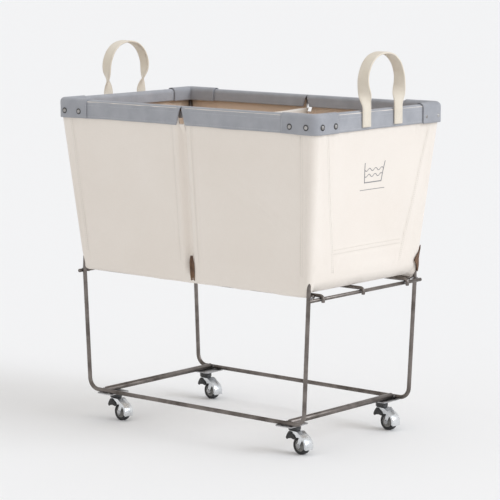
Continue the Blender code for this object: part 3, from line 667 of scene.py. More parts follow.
# ------------------------------------------------------------------ stitches and rivets
class Bits:
    """Collects many small closed shapes into one mesh."""

    def __init__(self):
        self.verts, self.faces = [], []

    def add(self, verts, faces):
        base = len(self.verts)
        self.verts += [tuple(v) for v in verts]
        self.faces += [tuple(base + i for i in f) for f in faces]

    def stitch(self, start, end, normal, radius=0.00042):
        """One thread: sunk at both ends and proud in the middle."""
        start, end, normal = Vector(start), Vector(end), Vector(normal).normalized()
        along = (end - start).normalized()
        side = along.cross(normal)
        verts = []
        for s, lift, fat in ((0.0, -0.9, 0.5), (0.2, 0.25, 1.0), (0.8, 0.25, 1.0), (1.0, -0.9, 0.5)):
            centre = start.lerp(end, s) + normal * (radius * lift)
            for k in range(6):
                turn = math.tau * k / 6
                verts.append(centre + (normal * math.sin(turn) + side * math.cos(turn)) * radius * fat)
        self.add(verts, grid_faces(4, 6, wrap=True) + end_caps(6, len(verts)))

    def seam(self, points, normals, pitch=0.0042, share=0.68):
        """Stitches at an even pitch along a line on the cloth."""
        points = [Vector(p) for p in points]
        run = [0.0]
        for p, q in zip(points, points[1:]):
            run.append(run[-1] + (q - p).length)
        xyz = np.array([tuple(p) for p in points])
        nrm = np.array([tuple(n) for n in normals])

        def at(s, table):
            return Vector([float(np.interp(s, run, table[:, k])) for k in range(3)])

        for k in range(int(run[-1] / pitch)):
            s = (k + 0.15) * pitch
            self.stitch(at(s, xyz), at(s + pitch * share, xyz), at(s + pitch * share / 2, nrm))

    def dome(self, at, normal, radius, height, brim=1.35):
        """Round rivet head with a thin flat brim."""
        normal = Vector(normal).normalized()
        turn = normal.to_track_quat("Z", "Y")
        profile = [(brim * radius, -0.0004), (brim * radius, 0.0003), (radius * 1.02, 0.0005)]
        profile += [(radius * math.cos(k * math.pi / 12), 0.0005 + height * math.sin(k * math.pi / 12))
                    for k in range(6)]
        segs, verts = 20, []
        for rad, up in profile:
            for k in range(segs):
                angle = math.tau * k / segs
                spot = Vector((rad * math.cos(angle), rad * math.sin(angle), up))
                verts.append(Vector(at) + turn @ spot)
        self.add(verts, grid_faces(len(profile), segs, wrap=True) + end_caps(segs, len(verts)))

    def blob(self, at, size, seed):
        """Lumpy bead of weld metal."""
        noise = np.random.RandomState(seed)
        segs, rows = 14, 8
        sx, sy, sz = size
        verts = [Vector(at) + Vector((0, 0, -sz))]
        for r in range(1, rows):
            tilt = math.pi * r / rows
            for k in range(segs):
                turn = math.tau * k / segs
                fat = 1 + 0.18 * noise.uniform(-1, 1)
                verts.append(Vector(at) + Vector((sx * math.sin(tilt) * math.cos(turn) * fat,
                                                  sy * math.sin(tilt) * math.sin(turn) * fat,
                                                  -sz * math.cos(tilt))))
        verts.append(Vector(at) + Vector((0, 0, sz)))
        faces = [(0, 1 + (i + 1) % segs, 1 + i) for i in range(segs)]
        faces += [tuple(1 + i for i in face) for face in grid_faces(rows - 1, segs, wrap=True)]
        top = len(verts) - 1
        faces += [(top, top - segs + i, top - segs + (i + 1) % segs) for i in range(segs)]
        self.add(verts, faces)

    def build(self, name, mat):
        obj = new_object(name, self.verts, self.faces, mat)
        face_out(obj)
        return obj


def wall_point(kind, along, z, lift=0.0):
    """A point on the cloth of one wall, and its outward direction; along is x or y."""
    a, b, _ = wall_size(z)
    kinds = np.array(kind)
    if kind in (0, 2):
        sign = -1 if kind == 0 else 1
        x, y, normal = along, sign * b, (0, sign, 0)
    else:
        sign = 1 if kind == 1 else -1
        x, y, normal = sign * a, along, (sign, 0, 0)
    out = float(wall_relief(np.array(x), np.array(y), np.array(z), kinds)) + lift
    return Vector((x + normal[0] * out, y + normal[1] * out, z)), Vector(normal)


def wall_seam(bits, kind, line, pitch=0.0045):
    """A row of stitches on one wall through (along, z) points."""
    fine = spline(line, 60) if len(line) > 2 else np.linspace(line[0], line[1], 60)
    spots = [wall_point(kind, float(u), float(z)) for u, z in fine]
    bits.seam([p for p, _ in spots], [n for _, n in spots], pitch)


def make_bag_stitches(mat):
    """Double rows beside the leg sleeves, the end seams and the valleys."""
    bits = Bits()
    levels = np.linspace(TRIM_LOW_Z - 0.004, BAG_LOW_Z + 0.045, 12)
    for kind, on_end in ((0, False), (1, True), (2, False), (3, True)):
        half = 1 if on_end else 0
        for sign in (-1, 1):
            for inset in (0.0022, 0.0072):
                line = [(sign * (wall_size(z)[half] - float(strip_width(z, on_end)) + inset), z)
                        for z in levels]
                wall_seam(bits, kind, line)
        if on_end:
            reach = wall_size(END_SEAM_Z)[1] - float(strip_width(END_SEAM_Z, True)) - 0.003
            for z in (END_SEAM_Z - 0.0024, END_SEAM_Z - 0.0112):
                wall_seam(bits, kind, [(-reach, z), (reach, z)])
        else:
            for sign in (-1, 1):
                wall_seam(bits, kind, [(sign * 0.0268, z) for z in levels])
    return bits.build("bag_stitching", mat)


# ------------------------------------------------------------------ trim
TRIM_OUT = TRIM_A - HOOP_A - 0.0018          # outer face of the trim from the hoop's line
TRIM_BACK = 0.0095
TRIM_LOW_IN = RIM_H - TRIM_DROP_IN
TRIM_ROUND = 0.0088                          # rise of the rounded top of the fold


def rim_outline(u, offset):
    """Point and outward direction at u metres along the hoop's line, from the front middle
    anticlockwise; offset is measured outwards."""
    straight_x, straight_y = HOOP_A - HOOP_R, HOOP_B - HOOP_R
    arc = HOOP_R * math.pi / 2
    parts = (("line", 0, straight_x), ("arc", 0, arc), ("line", 1, 2 * straight_y),
             ("arc", 1, arc), ("line", 2, straight_x))
    for shape, step, length in parts:
        if u <= length or (shape, step) == ("line", 2):
            break
        u -= length
    if shape == "line":
        place = {0: (u, -HOOP_B), 1: (HOOP_A, -straight_y + u), 2: (straight_x - u, HOOP_B)}[step]
        normal = {0: (0, -1), 1: (1, 0), 2: (0, 1)}[step]
        return place[0] + normal[0] * offset, place[1] + normal[1] * offset, normal
    turn = -math.pi / 2 * (1 - step) + u / HOOP_R
    centre = (straight_x, -straight_y if step == 0 else straight_y)
    normal = (math.cos(turn), math.sin(turn))
    reach = HOOP_R + offset
    return centre[0] + normal[0] * reach, centre[1] + normal[1] * reach, normal


HALF_RIM = 2 * (HOOP_A - HOOP_R) + 2 * (HOOP_B - HOOP_R) + HOOP_R * math.pi


def rim_section(lift=0.0, grow=0.0):
    """Offset and height of the folded strip, from the outer lower edge over the top to the
    inner lower edge, with the length run along it."""
    outer, inner = TRIM_OUT + lift, -(TRIM_BACK + lift)
    crown = RIM_H - TRIM_ROUND
    mid, half = (outer + inner) / 2, (outer - inner) / 2
    low_out, low_in = TRIM_LOW_Z - grow, TRIM_LOW_IN - grow
    points = [(outer, z) for z in np.linspace(low_out, crown, 16)[:-1]]
    for k in range(15):
        turn = k * math.pi / 14
        points.append((mid + half * math.cos(turn), crown + (TRIM_ROUND + lift) * math.sin(turn)))
    points += [(inner, z) for z in np.linspace(crown, low_in, 9)[1:]]
    run = [0.0]
    for p, q in zip(points, points[1:]):
        run.append(run[-1] + math.dist(p, q))
    return points, run


def make_strip(name, side, start, end, mat, lift=0.0, grow=0.0, thick=0.002, slanted=False, seed=0):
    """Woven strip folded over the rim between two places along its half."""
    section, run = rim_section(lift, grow)
    count = max(8, int((end - start) / 0.004))
    cloud = Cloud(20 + seed)
    verts, uvs = [], []
    for k in range(count + 1):
        for (offset, z), s in zip(section, run):
            first, last = start, end
            if slanted:
                gap = 0.0008 + 0.0125 * (RIM_H - z) / TRIM_DROP
                first, last = start + gap, end - gap
            u = first + (last - first) * k / count
            edge = min(s, run[-1] - s)
            puff = (0.00035 * float(cloud(u * 40, s * 60)) + 0.0004 * float(smooth(0.0, 0.004, edge))
                    - 0.0003 * float(bump(edge, 0.0052, 0.0012))
                    - 0.00022 * float(bump(s, 0.0215, 0.002)))
            droop = 0.0007 * float(cloud(u * 14, 7.0)) * (1 - smooth(0.0, 0.02, s))
            x, y, _ = rim_outline(u, offset + (puff if offset > 0 else -puff))
            verts.append((side * x, y, z + float(droop)))
            uvs.append((u, s))
    obj = new_object(name, verts, grid_faces(count + 1, len(section)), mat, uvs)
    faces_back = obj.data.polygons[0].normal.dot(Vector((0, -1, 0))) < 0
    if faces_back == (start < 0.5 * HALF_RIM):
        obj.data.flip_normals()
    shell(obj, thick)
    return obj


def rim_seam(bits, side, places, offset, pitch):
    """A row of stitches on the trim through (u, z) places."""
    line, normals = [], []
    for u, z in places:
        x, y, n = rim_outline(u, offset)
        line.append((side * x, y, z))
        normals.append((side * n[0], n[1], 0))
    bits.seam(line, normals, pitch=pitch)


def make_trim(mats, thread):
    """Two trim halves, four corner patches and their stitching."""
    stitches = Bits()
    corner_u = {-1: HOOP_A - HOOP_R + HOOP_R * math.pi / 4,
                1: HALF_RIM - (HOOP_A - HOOP_R + HOOP_R * math.pi / 4)}
    for side_name, side in (("left", -1), ("right", 1)):
        strip = make_strip("trim_strip_" + side_name, side, 0.0, HALF_RIM, mats["trim"],
                           slanted=True, seed=side + 1)
        keep(strip, ROOT, "trim_webbing", "trim_" + side_name)
        for z in (TRIM_LOW_Z + 0.0046, RIM_H - 0.0125):
            places = [(0.016 + (HALF_RIM - 0.032) * k / 240, z) for k in range(241)]
            rim_seam(stitches, side, places, TRIM_OUT + 0.0001, 0.0046)
        for sy in (-1, 1):
            name = ("front_" if sy < 0 else "rear_") + side_name
            middle = corner_u[sy]
            half_arc = HOOP_R * math.pi / 4
            reach_long, reach_end = half_arc + 0.074, half_arc + 0.058
            span = (middle - reach_long, middle + reach_end)
            if sy > 0:
                span = (middle - reach_end, middle + reach_long)
            patch = make_strip("corner_patch_" + name, side, span[0], span[1], mats["patch"],
                               lift=0.0016, grow=0.0008, thick=0.0015, seed=5 + sy)
            keep(patch, ROOT, "trim_patch", "trim_corner_" + name)
            for u in (span[0] + 0.003, span[1] - 0.003):
                places = [(u, TRIM_LOW_Z + 0.003 + 0.031 * k / 11) for k in range(12)]
                rim_seam(stitches, side, places, TRIM_OUT + 0.0019, 0.004)
    keep(stitches.build("trim_stitching", thread), ROOT, "trim_webbing")


def make_rivets(mat, dark):
    """Two domed rivets on each side of each corner, with a flat dark disc under each that darkens the
    trim round the head.
    """
    heads, dark_discs = Bits(), Bits()
    for sx, sy in CORNERS.values():
        for inset in (0.0262, 0.0705):
            spots = (((sx * (TRIM_A - inset), sy * (TRIM_B + 0.0004)), (0, sy)),
                     ((sx * (TRIM_A + 0.0004), sy * (TRIM_B - inset + 0.003)), (sx, 0)))
            for (x, y), (nx, ny) in spots:
                z = RIM_H - 0.0275
                heads.dome((x, y, z), (nx, ny, 0), 0.0042, 0.0022, 1.0)
                # Flat dark disc under each head, darkening the trim round it
                dark_discs.dome((x, y, z), (nx, ny, 0), 0.0042, 0.0003, 1.6)
    keep(heads.build("trim_rivets", mat), ROOT, "plate_steel")
    keep(dark_discs.build("rivet_dark_discs", dark), ROOT, "frame_steel")


# ------------------------------------------------------------------ handles
STRAP_W, STRAP_T = 0.028, 0.0045
STRAP_SIDES = 36
HANDLE_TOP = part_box("handle_right")[1][2] - STRAP_T / 2 - RIM_H
HANDLE_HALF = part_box("handle_right")[1][1] - STRAP_T / 2
HANDLE_FOOT = 0.0565
FOOT_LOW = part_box("handle_right")[0][2] - RIM_H


def handle_line(side):
    """Centre line of one strap with the share of twist at each point."""
    foot_x = TRIM_A - 0.0018 + 0.0003 + STRAP_T / 2 + 0.0006
    arch_x = foot_x - 0.004
    half = [(HANDLE_FOOT, FOOT_LOW, 0.0), (HANDLE_FOOT, FOOT_LOW / 3, 0.0),
            (HANDLE_FOOT, 0.006, 0.02), (HANDLE_FOOT + 0.002, 0.020, 0.25),
            (HANDLE_FOOT + 0.005, 0.036, 0.6), (HANDLE_HALF - 0.008, 0.052, 0.85),
            (HANDLE_HALF - 0.008, 0.068, 0.95), (HANDLE_HALF - 0.013, 0.084, 1.0),
            (HANDLE_HALF - 0.024, 0.101, 1.0), (HANDLE_HALF - 0.044, 0.115, 1.0),
            (0.0, HANDLE_TOP, 1.0)]
    line = [(-y, z, t) for y, z, t in half] + half[-2::-1]
    fine = spline([(foot_x + (arch_x - foot_x) * t, y, RIM_H + z, t) for y, z, t in line], 190)
    return [(Vector((side * x, y, z)), float(np.clip(t, 0, 1))) for x, y, z, t in fine]


def strap_frame(line, k, side):
    """Directions along the width and through the thickness of the strap."""
    tangent = (line[min(k + 1, len(line) - 1)][0] - line[max(k - 1, 0)][0]).normalized()
    t = line[k][1]
    broad = Vector((side * t, 1.0 - t, 0.0))
    broad = (broad - tangent * broad.dot(tangent)).normalized()
    return broad, tangent.cross(broad)


def strap_section():
    """Outline across the strap, in half widths and half thicknesses, with a groove beside
    each selvedge."""
    section = []
    for k in range(STRAP_SIDES):
        turn = math.tau * k / STRAP_SIDES
        c, s = math.cos(turn), math.sin(turn)
        u = math.copysign(abs(c) ** 0.28, c)
        v = math.copysign(abs(s) ** 0.45, s)
        section.append((u, v * (1 - 0.16 * math.exp(-((abs(u) - 0.80) / 0.07) ** 2))))
    return section


def strap_body(name, line, side, mat):
    """The webbing itself, pinched and cupped where it leaves the trim."""
    cloud = Cloud(40 + side)
    section = strap_section()
    verts, uvs, run = [], [], 0.0
    for k, (point, _) in enumerate(line):
        if k:
            run += (point - line[k - 1][0]).length
        broad, thin = strap_frame(line, k, side)
        from_end = min(k, len(line) - 1 - k) / len(line)
        pinch = 1 - 0.05 * math.exp(-((from_end - 0.13) / 0.03) ** 2)
        cup = 0.0011 * math.exp(-((from_end - 0.16) / 0.05) ** 2)
        for i, (u, v) in enumerate(section):
            puff = 1 + 0.06 * float(cloud(run * 45, i * 0.5))
            verts.append(point + broad * (u * STRAP_W / 2 * pinch)
                         + thin * (v * STRAP_T / 2 * puff + cup * (1 - u * u)))
            uvs.append((run, u * STRAP_W / 2 + 0.1 * (v > 0)))
    faces = grid_faces(len(line), len(section), wrap=True) + end_caps(len(section), len(verts))
    strap = new_object(name + "_strap", verts, faces, mat, uvs)
    face_out(strap)
    return strap


def edge_stitches(bits, line, side):
    """A row of stitches along both selvedges, on both faces of the strap."""
    for face_side in (-1, 1):
        for edge in (-0.80, 0.80):
            points, normals = [], []
            for k in range(2, len(line) - 2):
                broad, thin = strap_frame(line, k, side)
                points.append(line[k][0] + broad * (edge * STRAP_W / 2)
                              + thin * (face_side * STRAP_T / 2 * 0.90))
                normals.append(thin * face_side)
            bits.seam(points, normals, pitch=0.0052)


def foot_stitches(bits, x, side):
    """A crossed box of stitches on each foot."""
    low, high = RIM_H + FOOT_LOW + 0.0045, RIM_H - 0.004
    for foot in (-1, 1):
        near, far = foot * HANDLE_FOOT - 0.0085, foot * HANDLE_FOOT + 0.0085
        box = [(near, low), (far, low), (far, high), (near, high), (near, low), (far, high)]
        for route in (box, [(far, low), (near, high)]):
            for (ya, za), (yb, zb) in zip(route, route[1:]):
                steps = [(x, ya + (yb - ya) * k / 8, za + (zb - za) * k / 8) for k in range(9)]
                bits.seam(steps, [(side, 0, 0)] * 9, pitch=0.004)


def make_handle(name, side, mat, thread):
    """Doubled webbing loop with its stitches."""
    line = handle_line(side)
    strap = strap_body(name, line, side, mat)
    bits = Bits()
    edge_stitches(bits, line, side)
    foot_stitches(bits, side * (line[3][0].x * side + STRAP_T / 2 * 0.97), side)
    keep(strap, ROOT, "handle_webbing", name)
    keep(bits.build(name + "_stitching", thread), ROOT, "handle_webbing")


# ------------------------------------------------------------------ leather
def leather_plate(name, rows, place, thick, mat, thread=None):
    """A padded leather tab: rows are (height, half width); place(s, z, lift) gives a point."""
    across, up = 16, 26
    table = spline([(z, w) for z, w in rows], up)
    verts, uvs = [], []
    for layer in (1, 0):
        for z, w in table:
            for k in range(across + 1):
                s = 2 * k / across - 1
                edge = min(1 - abs(s), 0.5) * 2
                rim = float(smooth(0.0, 0.35, edge))
                end = float(smooth(0, 0.0025, min(z - table[0][0], table[-1][0] - z)))
                lift = thick * (0.55 + 0.45 * min(rim, end)) if layer else 0.0
                verts.append(place(s * max(w, 0.0004), z, lift))
                uvs.append((s * w, z))
    rows_n, cols = up, across + 1
    faces = grid_faces(rows_n, cols)
    base = rows_n * cols
    faces += [tuple(base + i for i in f[::-1]) for f in grid_faces(rows_n, cols)]
    ring = [c for c in range(cols)] + [r * cols + cols - 1 for r in range(1, rows_n)]
    ring += [(rows_n - 1) * cols + c for c in range(cols - 2, -1, -1)]
    ring += [r * cols for r in range(rows_n - 2, 0, -1)]
    for i, here in enumerate(ring):
        there = ring[(i + 1) % len(ring)]
        faces.append((here, base + here, base + there, there))
    tab = new_object(name, verts, faces, mat, uvs)
    face_out(tab)
    bits = Bits()
    if thread is not None:
        for sign in (-1, 1):
            points = [place(sign * max(w - 0.0022, 0.0006), z, thick * 1.02) for z, w in table[2:-2]]
            out = [place(sign * max(w - 0.0022, 0.0006), z, thick + 0.01) for z, w in table[2:-2]]
            bits.seam(points, [q - p for p, q in zip(points, out)], pitch=0.0034)
    return tab, bits


def make_leather(mat, thread):
    """Kites on the two rear legs, and a tab at the foot of each valley."""
    threads = Bits()
    for corner, (sx, sy) in CORNERS.items():
        node = "leg_guard_" + corner
        if sy < 0:
            continue
        low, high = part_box(node)
        low, high = low[2], high[2]

        def place(s, z, lift, sx=sx, sy=sy, low=low, high=high):
            a, b, r = wall_size(z)
            stand = 0.0022 + 0.0022 * (1 - float(smooth(low, low + 0.020, z))) + lift
            arc = r * math.pi / 4
            turn = math.radians(45) + max(-arc, min(arc, s)) / r
            extra = math.copysign(max(0.0, abs(s) - arc), s)
            x = a - r + (r + stand) * math.cos(turn) - max(0.0, extra)
            y = b - r + (r + stand) * math.sin(turn) - max(0.0, -extra)
            return Vector((sx * x, sy * y, z))

        rise = high - low
        rows = [(low - 0.012, 0.0060), (low + rise * 0.10, 0.0125), (low + rise * 0.36, 0.0200),
                (low + rise * 0.62, 0.0130), (low + rise * 0.84, 0.0060), (high + 0.003, 0.0014)]
        tab, bits = leather_plate("leg_kite_" + corner, rows, place, 0.0019, mat, thread)
        keep(tab, ROOT, "leather", node)
        threads.verts, threads.faces = merge(threads, bits)
    for name, sy in (("front", -1), ("rear", 1)):
        node = "foot_tab_" + name
        low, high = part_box(node)

        def place(s, z, lift, sy=sy):
            stand = 0.0004 + lift - 0.0025 * float(smooth(0.006, 0.0, abs(s)))
            return Vector((s + 0.0055, sy * (wall_size(z)[1] + stand), z))

        zs = (low[2] - 0.006, low[2] + 0.010, low[2] + 0.030, high[2] - 0.012, high[2])
        rows = list(zip(zs, (0.0052, 0.0064, 0.0066, 0.0058, 0.0032)))
        tab, bits = leather_plate("valley_tab_" + name, rows, place, 0.0020, mat, thread)
        keep(tab, ROOT, "leather", node)
        threads.verts, threads.faces = merge(threads, bits)
    keep(threads.build("leather_stitching", thread), ROOT, "leather")


def merge(first, second):
    """The vertices and faces of two collections as one."""
    base = len(first.verts)
    return (first.verts + second.verts,
            first.faces + [tuple(base + i for i in f) for f in second.faces])


# ------------------------------------------------------------------ wires
LEG_X = 0.318
LEG_BASE_Y, LEG_TOP_Y = 0.190, SHELF_HIGH[1] - 0.0103
LEG_TOP_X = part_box("shelf_side_wire_front")[1][0]
LEG_BEND_R = 0.026
CROSS_R = 0.0065
SLATS = ("shelf_slat_front", "shelf_slat_middle", "shelf_slat_rear")
TUCK_Z = 0.402
GAP = 0.0003


def leg_points(sx, sy):
    """Centre line of one leg, from the floor end to the rim."""
    points = [Vector((sx * LEG_X, sy * LEG_BASE_Y, BASE_Z)),
              Vector((sx * LEG_TOP_X, sy * LEG_TOP_Y, SHELF_Z))]
    for z in (TUCK_Z, HOOP_Z - WIRE_R - GAP - 0.004):
        a, b, radius = (float(v) for v in wall_size(z))
        tuck = radius - (radius - CANVAS_T - WIRE_R - 0.0008) / math.sqrt(2)
        points.append(Vector((sx * (a - tuck), sy * (b - tuck), z)))
    return points


def middle(node):
    """Middle of a CAD piece's box."""
    low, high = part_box(node)
    return [(a + b) / 2 for a, b in zip(low, high)]


def keep_wire(node, name, path, radius, sides, steel, closed=False):
    """A round wire that stands for one CAD wire."""
    keep(tube(name, path, radius, steel, sides, closed), ROOT, "frame_steel", node)


def make_side_frames(steel):
    """Leg, base rail and leg in one bent wire, at the front and at the rear."""
    for name, sy in (("front", -1), ("rear", 1)):
        left, right = leg_points(-1, sy), leg_points(1, sy)
        low = bent_path([left[1], left[0], right[0], right[1]], LEG_BEND_R, 14)
        path = [left[3], left[2]] + low + [right[2], right[3]]
        keep_wire("side_frame_" + name, "side_frame_wire_" + name, path, WIRE_R, 24, steel)


def make_hoop(steel):
    """Rim wire: a rounded rectangle inside the fold of the trim."""
    path = []
    for sx, sy, start in ((1, -1, -90), (1, 1, 0), (-1, 1, 90), (-1, -1, 180)):
        for x, y in arc(HOOP_R, start, start + 90, 14):
            path.append((sx * (HOOP_A - HOOP_R) + x, sy * (HOOP_B - HOOP_R) + y, HOOP_Z))
    keep_wire("rim_hoop", "rim_hoop_wire", path, WIRE_R, 20, steel, closed=True)


def make_bars(steel):
    """Straight wires: cross bars and end rods along Y, side wires along X, hooked slats."""
    for node, radius in (("base_cross_bar_left", CROSS_R), ("base_cross_bar_right", CROSS_R),
                         ("shelf_end_rod_left", ROD_R), ("shelf_end_rod_right", ROD_R)):
        low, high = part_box(node)
        x, _, z = middle(node)
        keep_wire(node, node + "_wire", [(x, low[1], z), (x, high[1], z)], radius, 24, steel)
    for node in ("shelf_side_wire_front", "shelf_side_wire_rear"):
        low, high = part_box(node)
        _, y, z = middle(node)
        keep_wire(node, node + "_wire", [(low[0], y, z), (high[0], y, z)], ROD_R, 20, steel)
    for node in SLATS:
        low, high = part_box(node)
        x, y, z = high[0] - ROD_R, middle(node)[1], high[2] - ROD_R
        path = bent_path([(-x, y, low[2]), (-x, y, z), (x, y, z), (x, y, low[2])], ROD_R * 2, 9)
        keep_wire(node, node + "_wire", path, ROD_R, 20, steel)


def make_welds(weld):
    """Beads where the wires meet: under the slats' hooks, at the base and at the shelf."""
    welds = Bits()
    for node in SLATS:
        for sx in (-1, 1):
            at = (sx * (SHELF_X + 0.0042), middle(node)[1] - 0.0015, SHELF_Z + 0.0005)
            welds.blob(at, (0.003, 0.0042, 0.0034), 7)
    bar_x = middle("base_cross_bar_right")[0]
    side_y = middle("shelf_side_wire_rear")[1]
    seed = 10
    for sx, sy in CORNERS.values():
        bar_end = sy * (LEG_BASE_Y - WIRE_R)
        for shift in (-0.006, 0.006):
            seed += 1
            welds.blob((sx * bar_x + shift, bar_end, BASE_Z + 0.001), (0.0042, 0.0030, 0.0040), seed)
        for shift in (-0.012, 0.010):
            seed += 1
            at = (sx * KING_X + shift, sy * (LEG_BASE_Y + 0.003), BASE_Z - WIRE_R - 0.0002)
            welds.blob(at, (0.0060, 0.0026, 0.0020), seed)
        at = (sx * (LEG_TOP_X + 0.0045), sy * LEG_TOP_Y, SHELF_Z + 0.0035)
        welds.blob(at, (0.0036, 0.0044, 0.0030), seed + 40)
        at = (sx * LEG_TOP_X, sy * (side_y + 0.009), SHELF_Z + 0.0055)
        welds.blob(at, (0.0038, 0.0062, 0.0026), seed + 80)
    keep(welds.build("weld_beads", weld), ROOT, "frame_steel")


# ------------------------------------------------------------------ casters
WHEEL_W = 0.016
HEADING = math.radians(-6.0)
CROWN, CROWN_T, ARM_T, ARM_GAP = 0.0305, 0.0026, 0.0020, 0.0017
JOINTS = {joint["name"]: joint for joint in frame["joints"]}


def lathe(name, profile, segs, mat, axis="Z"):
    """A closed profile of (radius, height) turned round an axis."""
    verts, faces = [], []
    count = len(profile)
    for k in range(segs):
        turn = math.tau * k / segs
        for radius, height in profile:
            radius = max(radius, 1e-5)
            point = (radius * math.cos(turn), radius * math.sin(turn), height)
            verts.append(point if axis == "Z" else (point[0], point[2], -point[1]))
    for k in range(segs):
        j = (k + 1) % segs
        for i in range(count):
            m = (i + 1) % count
            faces.append((k * count + i, j * count + i, j * count + m, k * count + m))
    obj = new_object(name, verts, faces, mat)
    face_out(obj, merge=2e-5)
    return obj


def extruded(name, outline, low, high, mat, bevel=0.0004):
    """An outline in the XZ plane made thick along Y, with soft edges."""
    count = len(outline)
    verts = [(x, low, z) for x, z in outline] + [(x, high, z) for x, z in outline]
    faces = [tuple(range(count)), tuple(range(count, 2 * count))]
    faces += [(i, (i + 1) % count, count + (i + 1) % count, count + i) for i in range(count)]
    obj = new_object(name, verts, faces, mat)
    face_out(obj)
    if bevel:
        soften(obj, bevel)
    return obj


def soften(obj, width, angle=35):
    """Round the sharp edges and apply it."""
    mod = obj.modifiers.new("bevel", "BEVEL")
    mod.width = width
    mod.segments = 3
    mod.limit_method = "ANGLE"
    mod.angle_limit = math.radians(angle)
    mod.harden_normals = False
    apply_all(obj)
    obj.data.shade_smooth()
    obj.data.set_sharp_from_angle(angle=math.radians(48))


def carve(obj, cutter):
    """Boolean difference, applied; the cutter is removed."""
    mod = obj.modifiers.new("cut", "BOOLEAN")
    mod.operation = "DIFFERENCE"
    mod.solver = "EXACT"
    mod.object = cutter
    apply_all(obj)
    bpy.data.objects.remove(cutter)


def arc(radius, start, end, steps):
    """Points on a circle, from one angle to another in degrees."""
    turns = [math.radians(start + (end - start) * k / steps) for k in range(steps + 1)]
    return [(radius * math.cos(turn), radius * math.sin(turn)) for turn in turns]


def fork_shape(name, mat):
    """Pressed fork about the axle: crown, hood over the wheel and two arms."""
    half = WHEEL_W / 2 + ARM_GAP
    body = arc(0.024, -18, 72, 26)
    body += [(-0.004, CROWN), (-0.029, CROWN), (-0.029, CROWN - 0.003), (-0.0285, 0.0215)]
    body += [(-0.0265, 0.0185), (-0.0180, 0.0185)]
    body += arc(0.0180, 118, 84, 8)
    body += arc(0.0055, 115, 380, 20)
    body += arc(0.0180, 50, -15, 16)
    fork = extruded(name, body, -half - ARM_T, half + ARM_T, mat, bevel=0)
    under = CROWN - CROWN_T
    pocket = arc(0.0223, -75, 84, 26)
    pocket += [(-0.005, under), (-0.045, under), (-0.045, -0.035), (0.006, -0.035)]
    carve(fork, extruded("pocket", pocket, -half, half, mat, bevel=0))
    soften(fork, 0.00045, 40)
    return fork


def axle_shape(name, mat):
    """Riveted axle with a domed head at each end."""
    end = WHEEL_W / 2 + ARM_GAP + ARM_T + 0.0003
    cap = [(0, -end - 0.0018), (0.0030, -end - 0.0017), (0.0041, -end - 0.0011),
           (0.0044, -end - 0.0003), (0.0044, -end), (0.0028, -end)]
    return lathe(name, cap + [(r, -y) for r, y in cap[::-1]], 32, mat, axis="Y")


def hub_shape(name, mat):
    """Moulded wheel centre: raised boss, dished web with ribs, and an outer rim."""
    w = WHEEL_W / 2
    half = [(0.0031, w + 0.0006), (0.0034, w + 0.0008), (0.0057, w + 0.0008), (0.0061, w + 0.0003),
            (0.0066, w - 0.0024), (0.0074, w - 0.0030), (0.0102, w - 0.0030), (0.0109, w - 0.0024),
            (0.0113, w - 0.0009), (0.0126, w - 0.0009), (0.0128, w - 0.0012)]
    profile = [(r, -y) for r, y in half] + half[::-1]
    hub = lathe(name, profile, 56, mat, axis="Y")
    ribs = []
    for k in range(6):
        turn = math.tau * k / 6
        for sign in (-1, 1):
            rib = extruded("rib", [(0.0058, -0.0007), (0.0116, -0.0007), (0.0116, 0.0007),
                                   (0.0058, 0.0007)], sign * (w - 0.0040), sign * (w - 0.0012),
                           mat, bevel=0.0002)
            rib.data.transform(Matrix.Rotation(turn, 4, "Y"))
            ribs.append(rib)
    return join(name, [hub] + ribs)


def tyre_shape(name, mat):
    """Rubber tyre with rounded shoulders, a fine side groove and a mould line."""
    w = WHEEL_W / 2
    half = [(0.0131, w - 0.0012), (0.0136, w - 0.0005), (0.0150, w - 0.0001), (0.0155, w - 0.0004),
            (0.0159, w - 0.0001), (0.0175, w - 0.0001), (0.0188, w - 0.0007), (0.0196, w - 0.0019),
            (0.01995, w - 0.0036), (0.0200, w - 0.0050)]
    crown = [(0.0200, 0.0006), (0.01975, 0.0)]
    profile = [(r, -y) for r, y in half] + [(crown[0][0], -crown[0][1]), crown[1], crown[0]]
    profile += half[::-1]
    return lathe(name, profile, 96, mat, axis="Y")


def pedal_shape(name, mat):
    """Black brake tab with grip ridges and a cheek outside each fork arm, about its own pin."""
    tab = [(0.0030, 0.0022), (0.0006, 0.0034), (-0.0020, 0.0036), (-0.0048, 0.0022),
           (-0.0070, 0.0000), (-0.0100, -0.0040), (-0.0125, -0.0075), (-0.0118, -0.0105),
           (-0.0085, -0.0108), (-0.0062, -0.0080), (-0.0035, -0.0048), (-0.0005, -0.0066),
           (0.0022, -0.0092), (0.0040, -0.0078), (0.0034, -0.0050), (0.0028, -0.0025)]
    body = extruded(name, tab, -WHEEL_W / 2 + 0.0003, WHEEL_W / 2 - 0.0003, mat, bevel=0.0005)
    parts = [body]
    for k in range(4):
        s = 0.25 + 0.2 * k
        x, z = -0.0070 - 0.0052 * s, 0.0006 - 0.0078 * s
        ridge = tube("ridge", [(x, -0.0062, z), (x, 0.0062, z)], 0.0006, mat, 10)
        parts.append(ridge)
    cheek = arc(0.0072, 150, 30, 12)
    cheek += [(0.0115, 0.0006), (0.0150, -0.0030), (0.0165, -0.0068), (0.0150, -0.0092),
              (0.0110, -0.0098), (0.0040, -0.0080), (-0.0040, -0.0095), (-0.0085, -0.0120),
              (-0.0112, -0.0112), (-0.0125, -0.0080), (-0.0098, -0.0015)]
    near = WHEEL_W / 2 + ARM_GAP + ARM_T + 0.0004
    for side in (-1, 1):
        ends = sorted((side * near, side * (near + 0.0015)))
        parts.append(extruded("cheek", cheek, ends[0], ends[1], mat, bevel=0.0004))
    reach = near + 0.0022
    pin = tube("pin", [(0, -reach, 0), (0, reach, 0)], 0.0018, mat, 20)
    return join(name, parts + [pin])


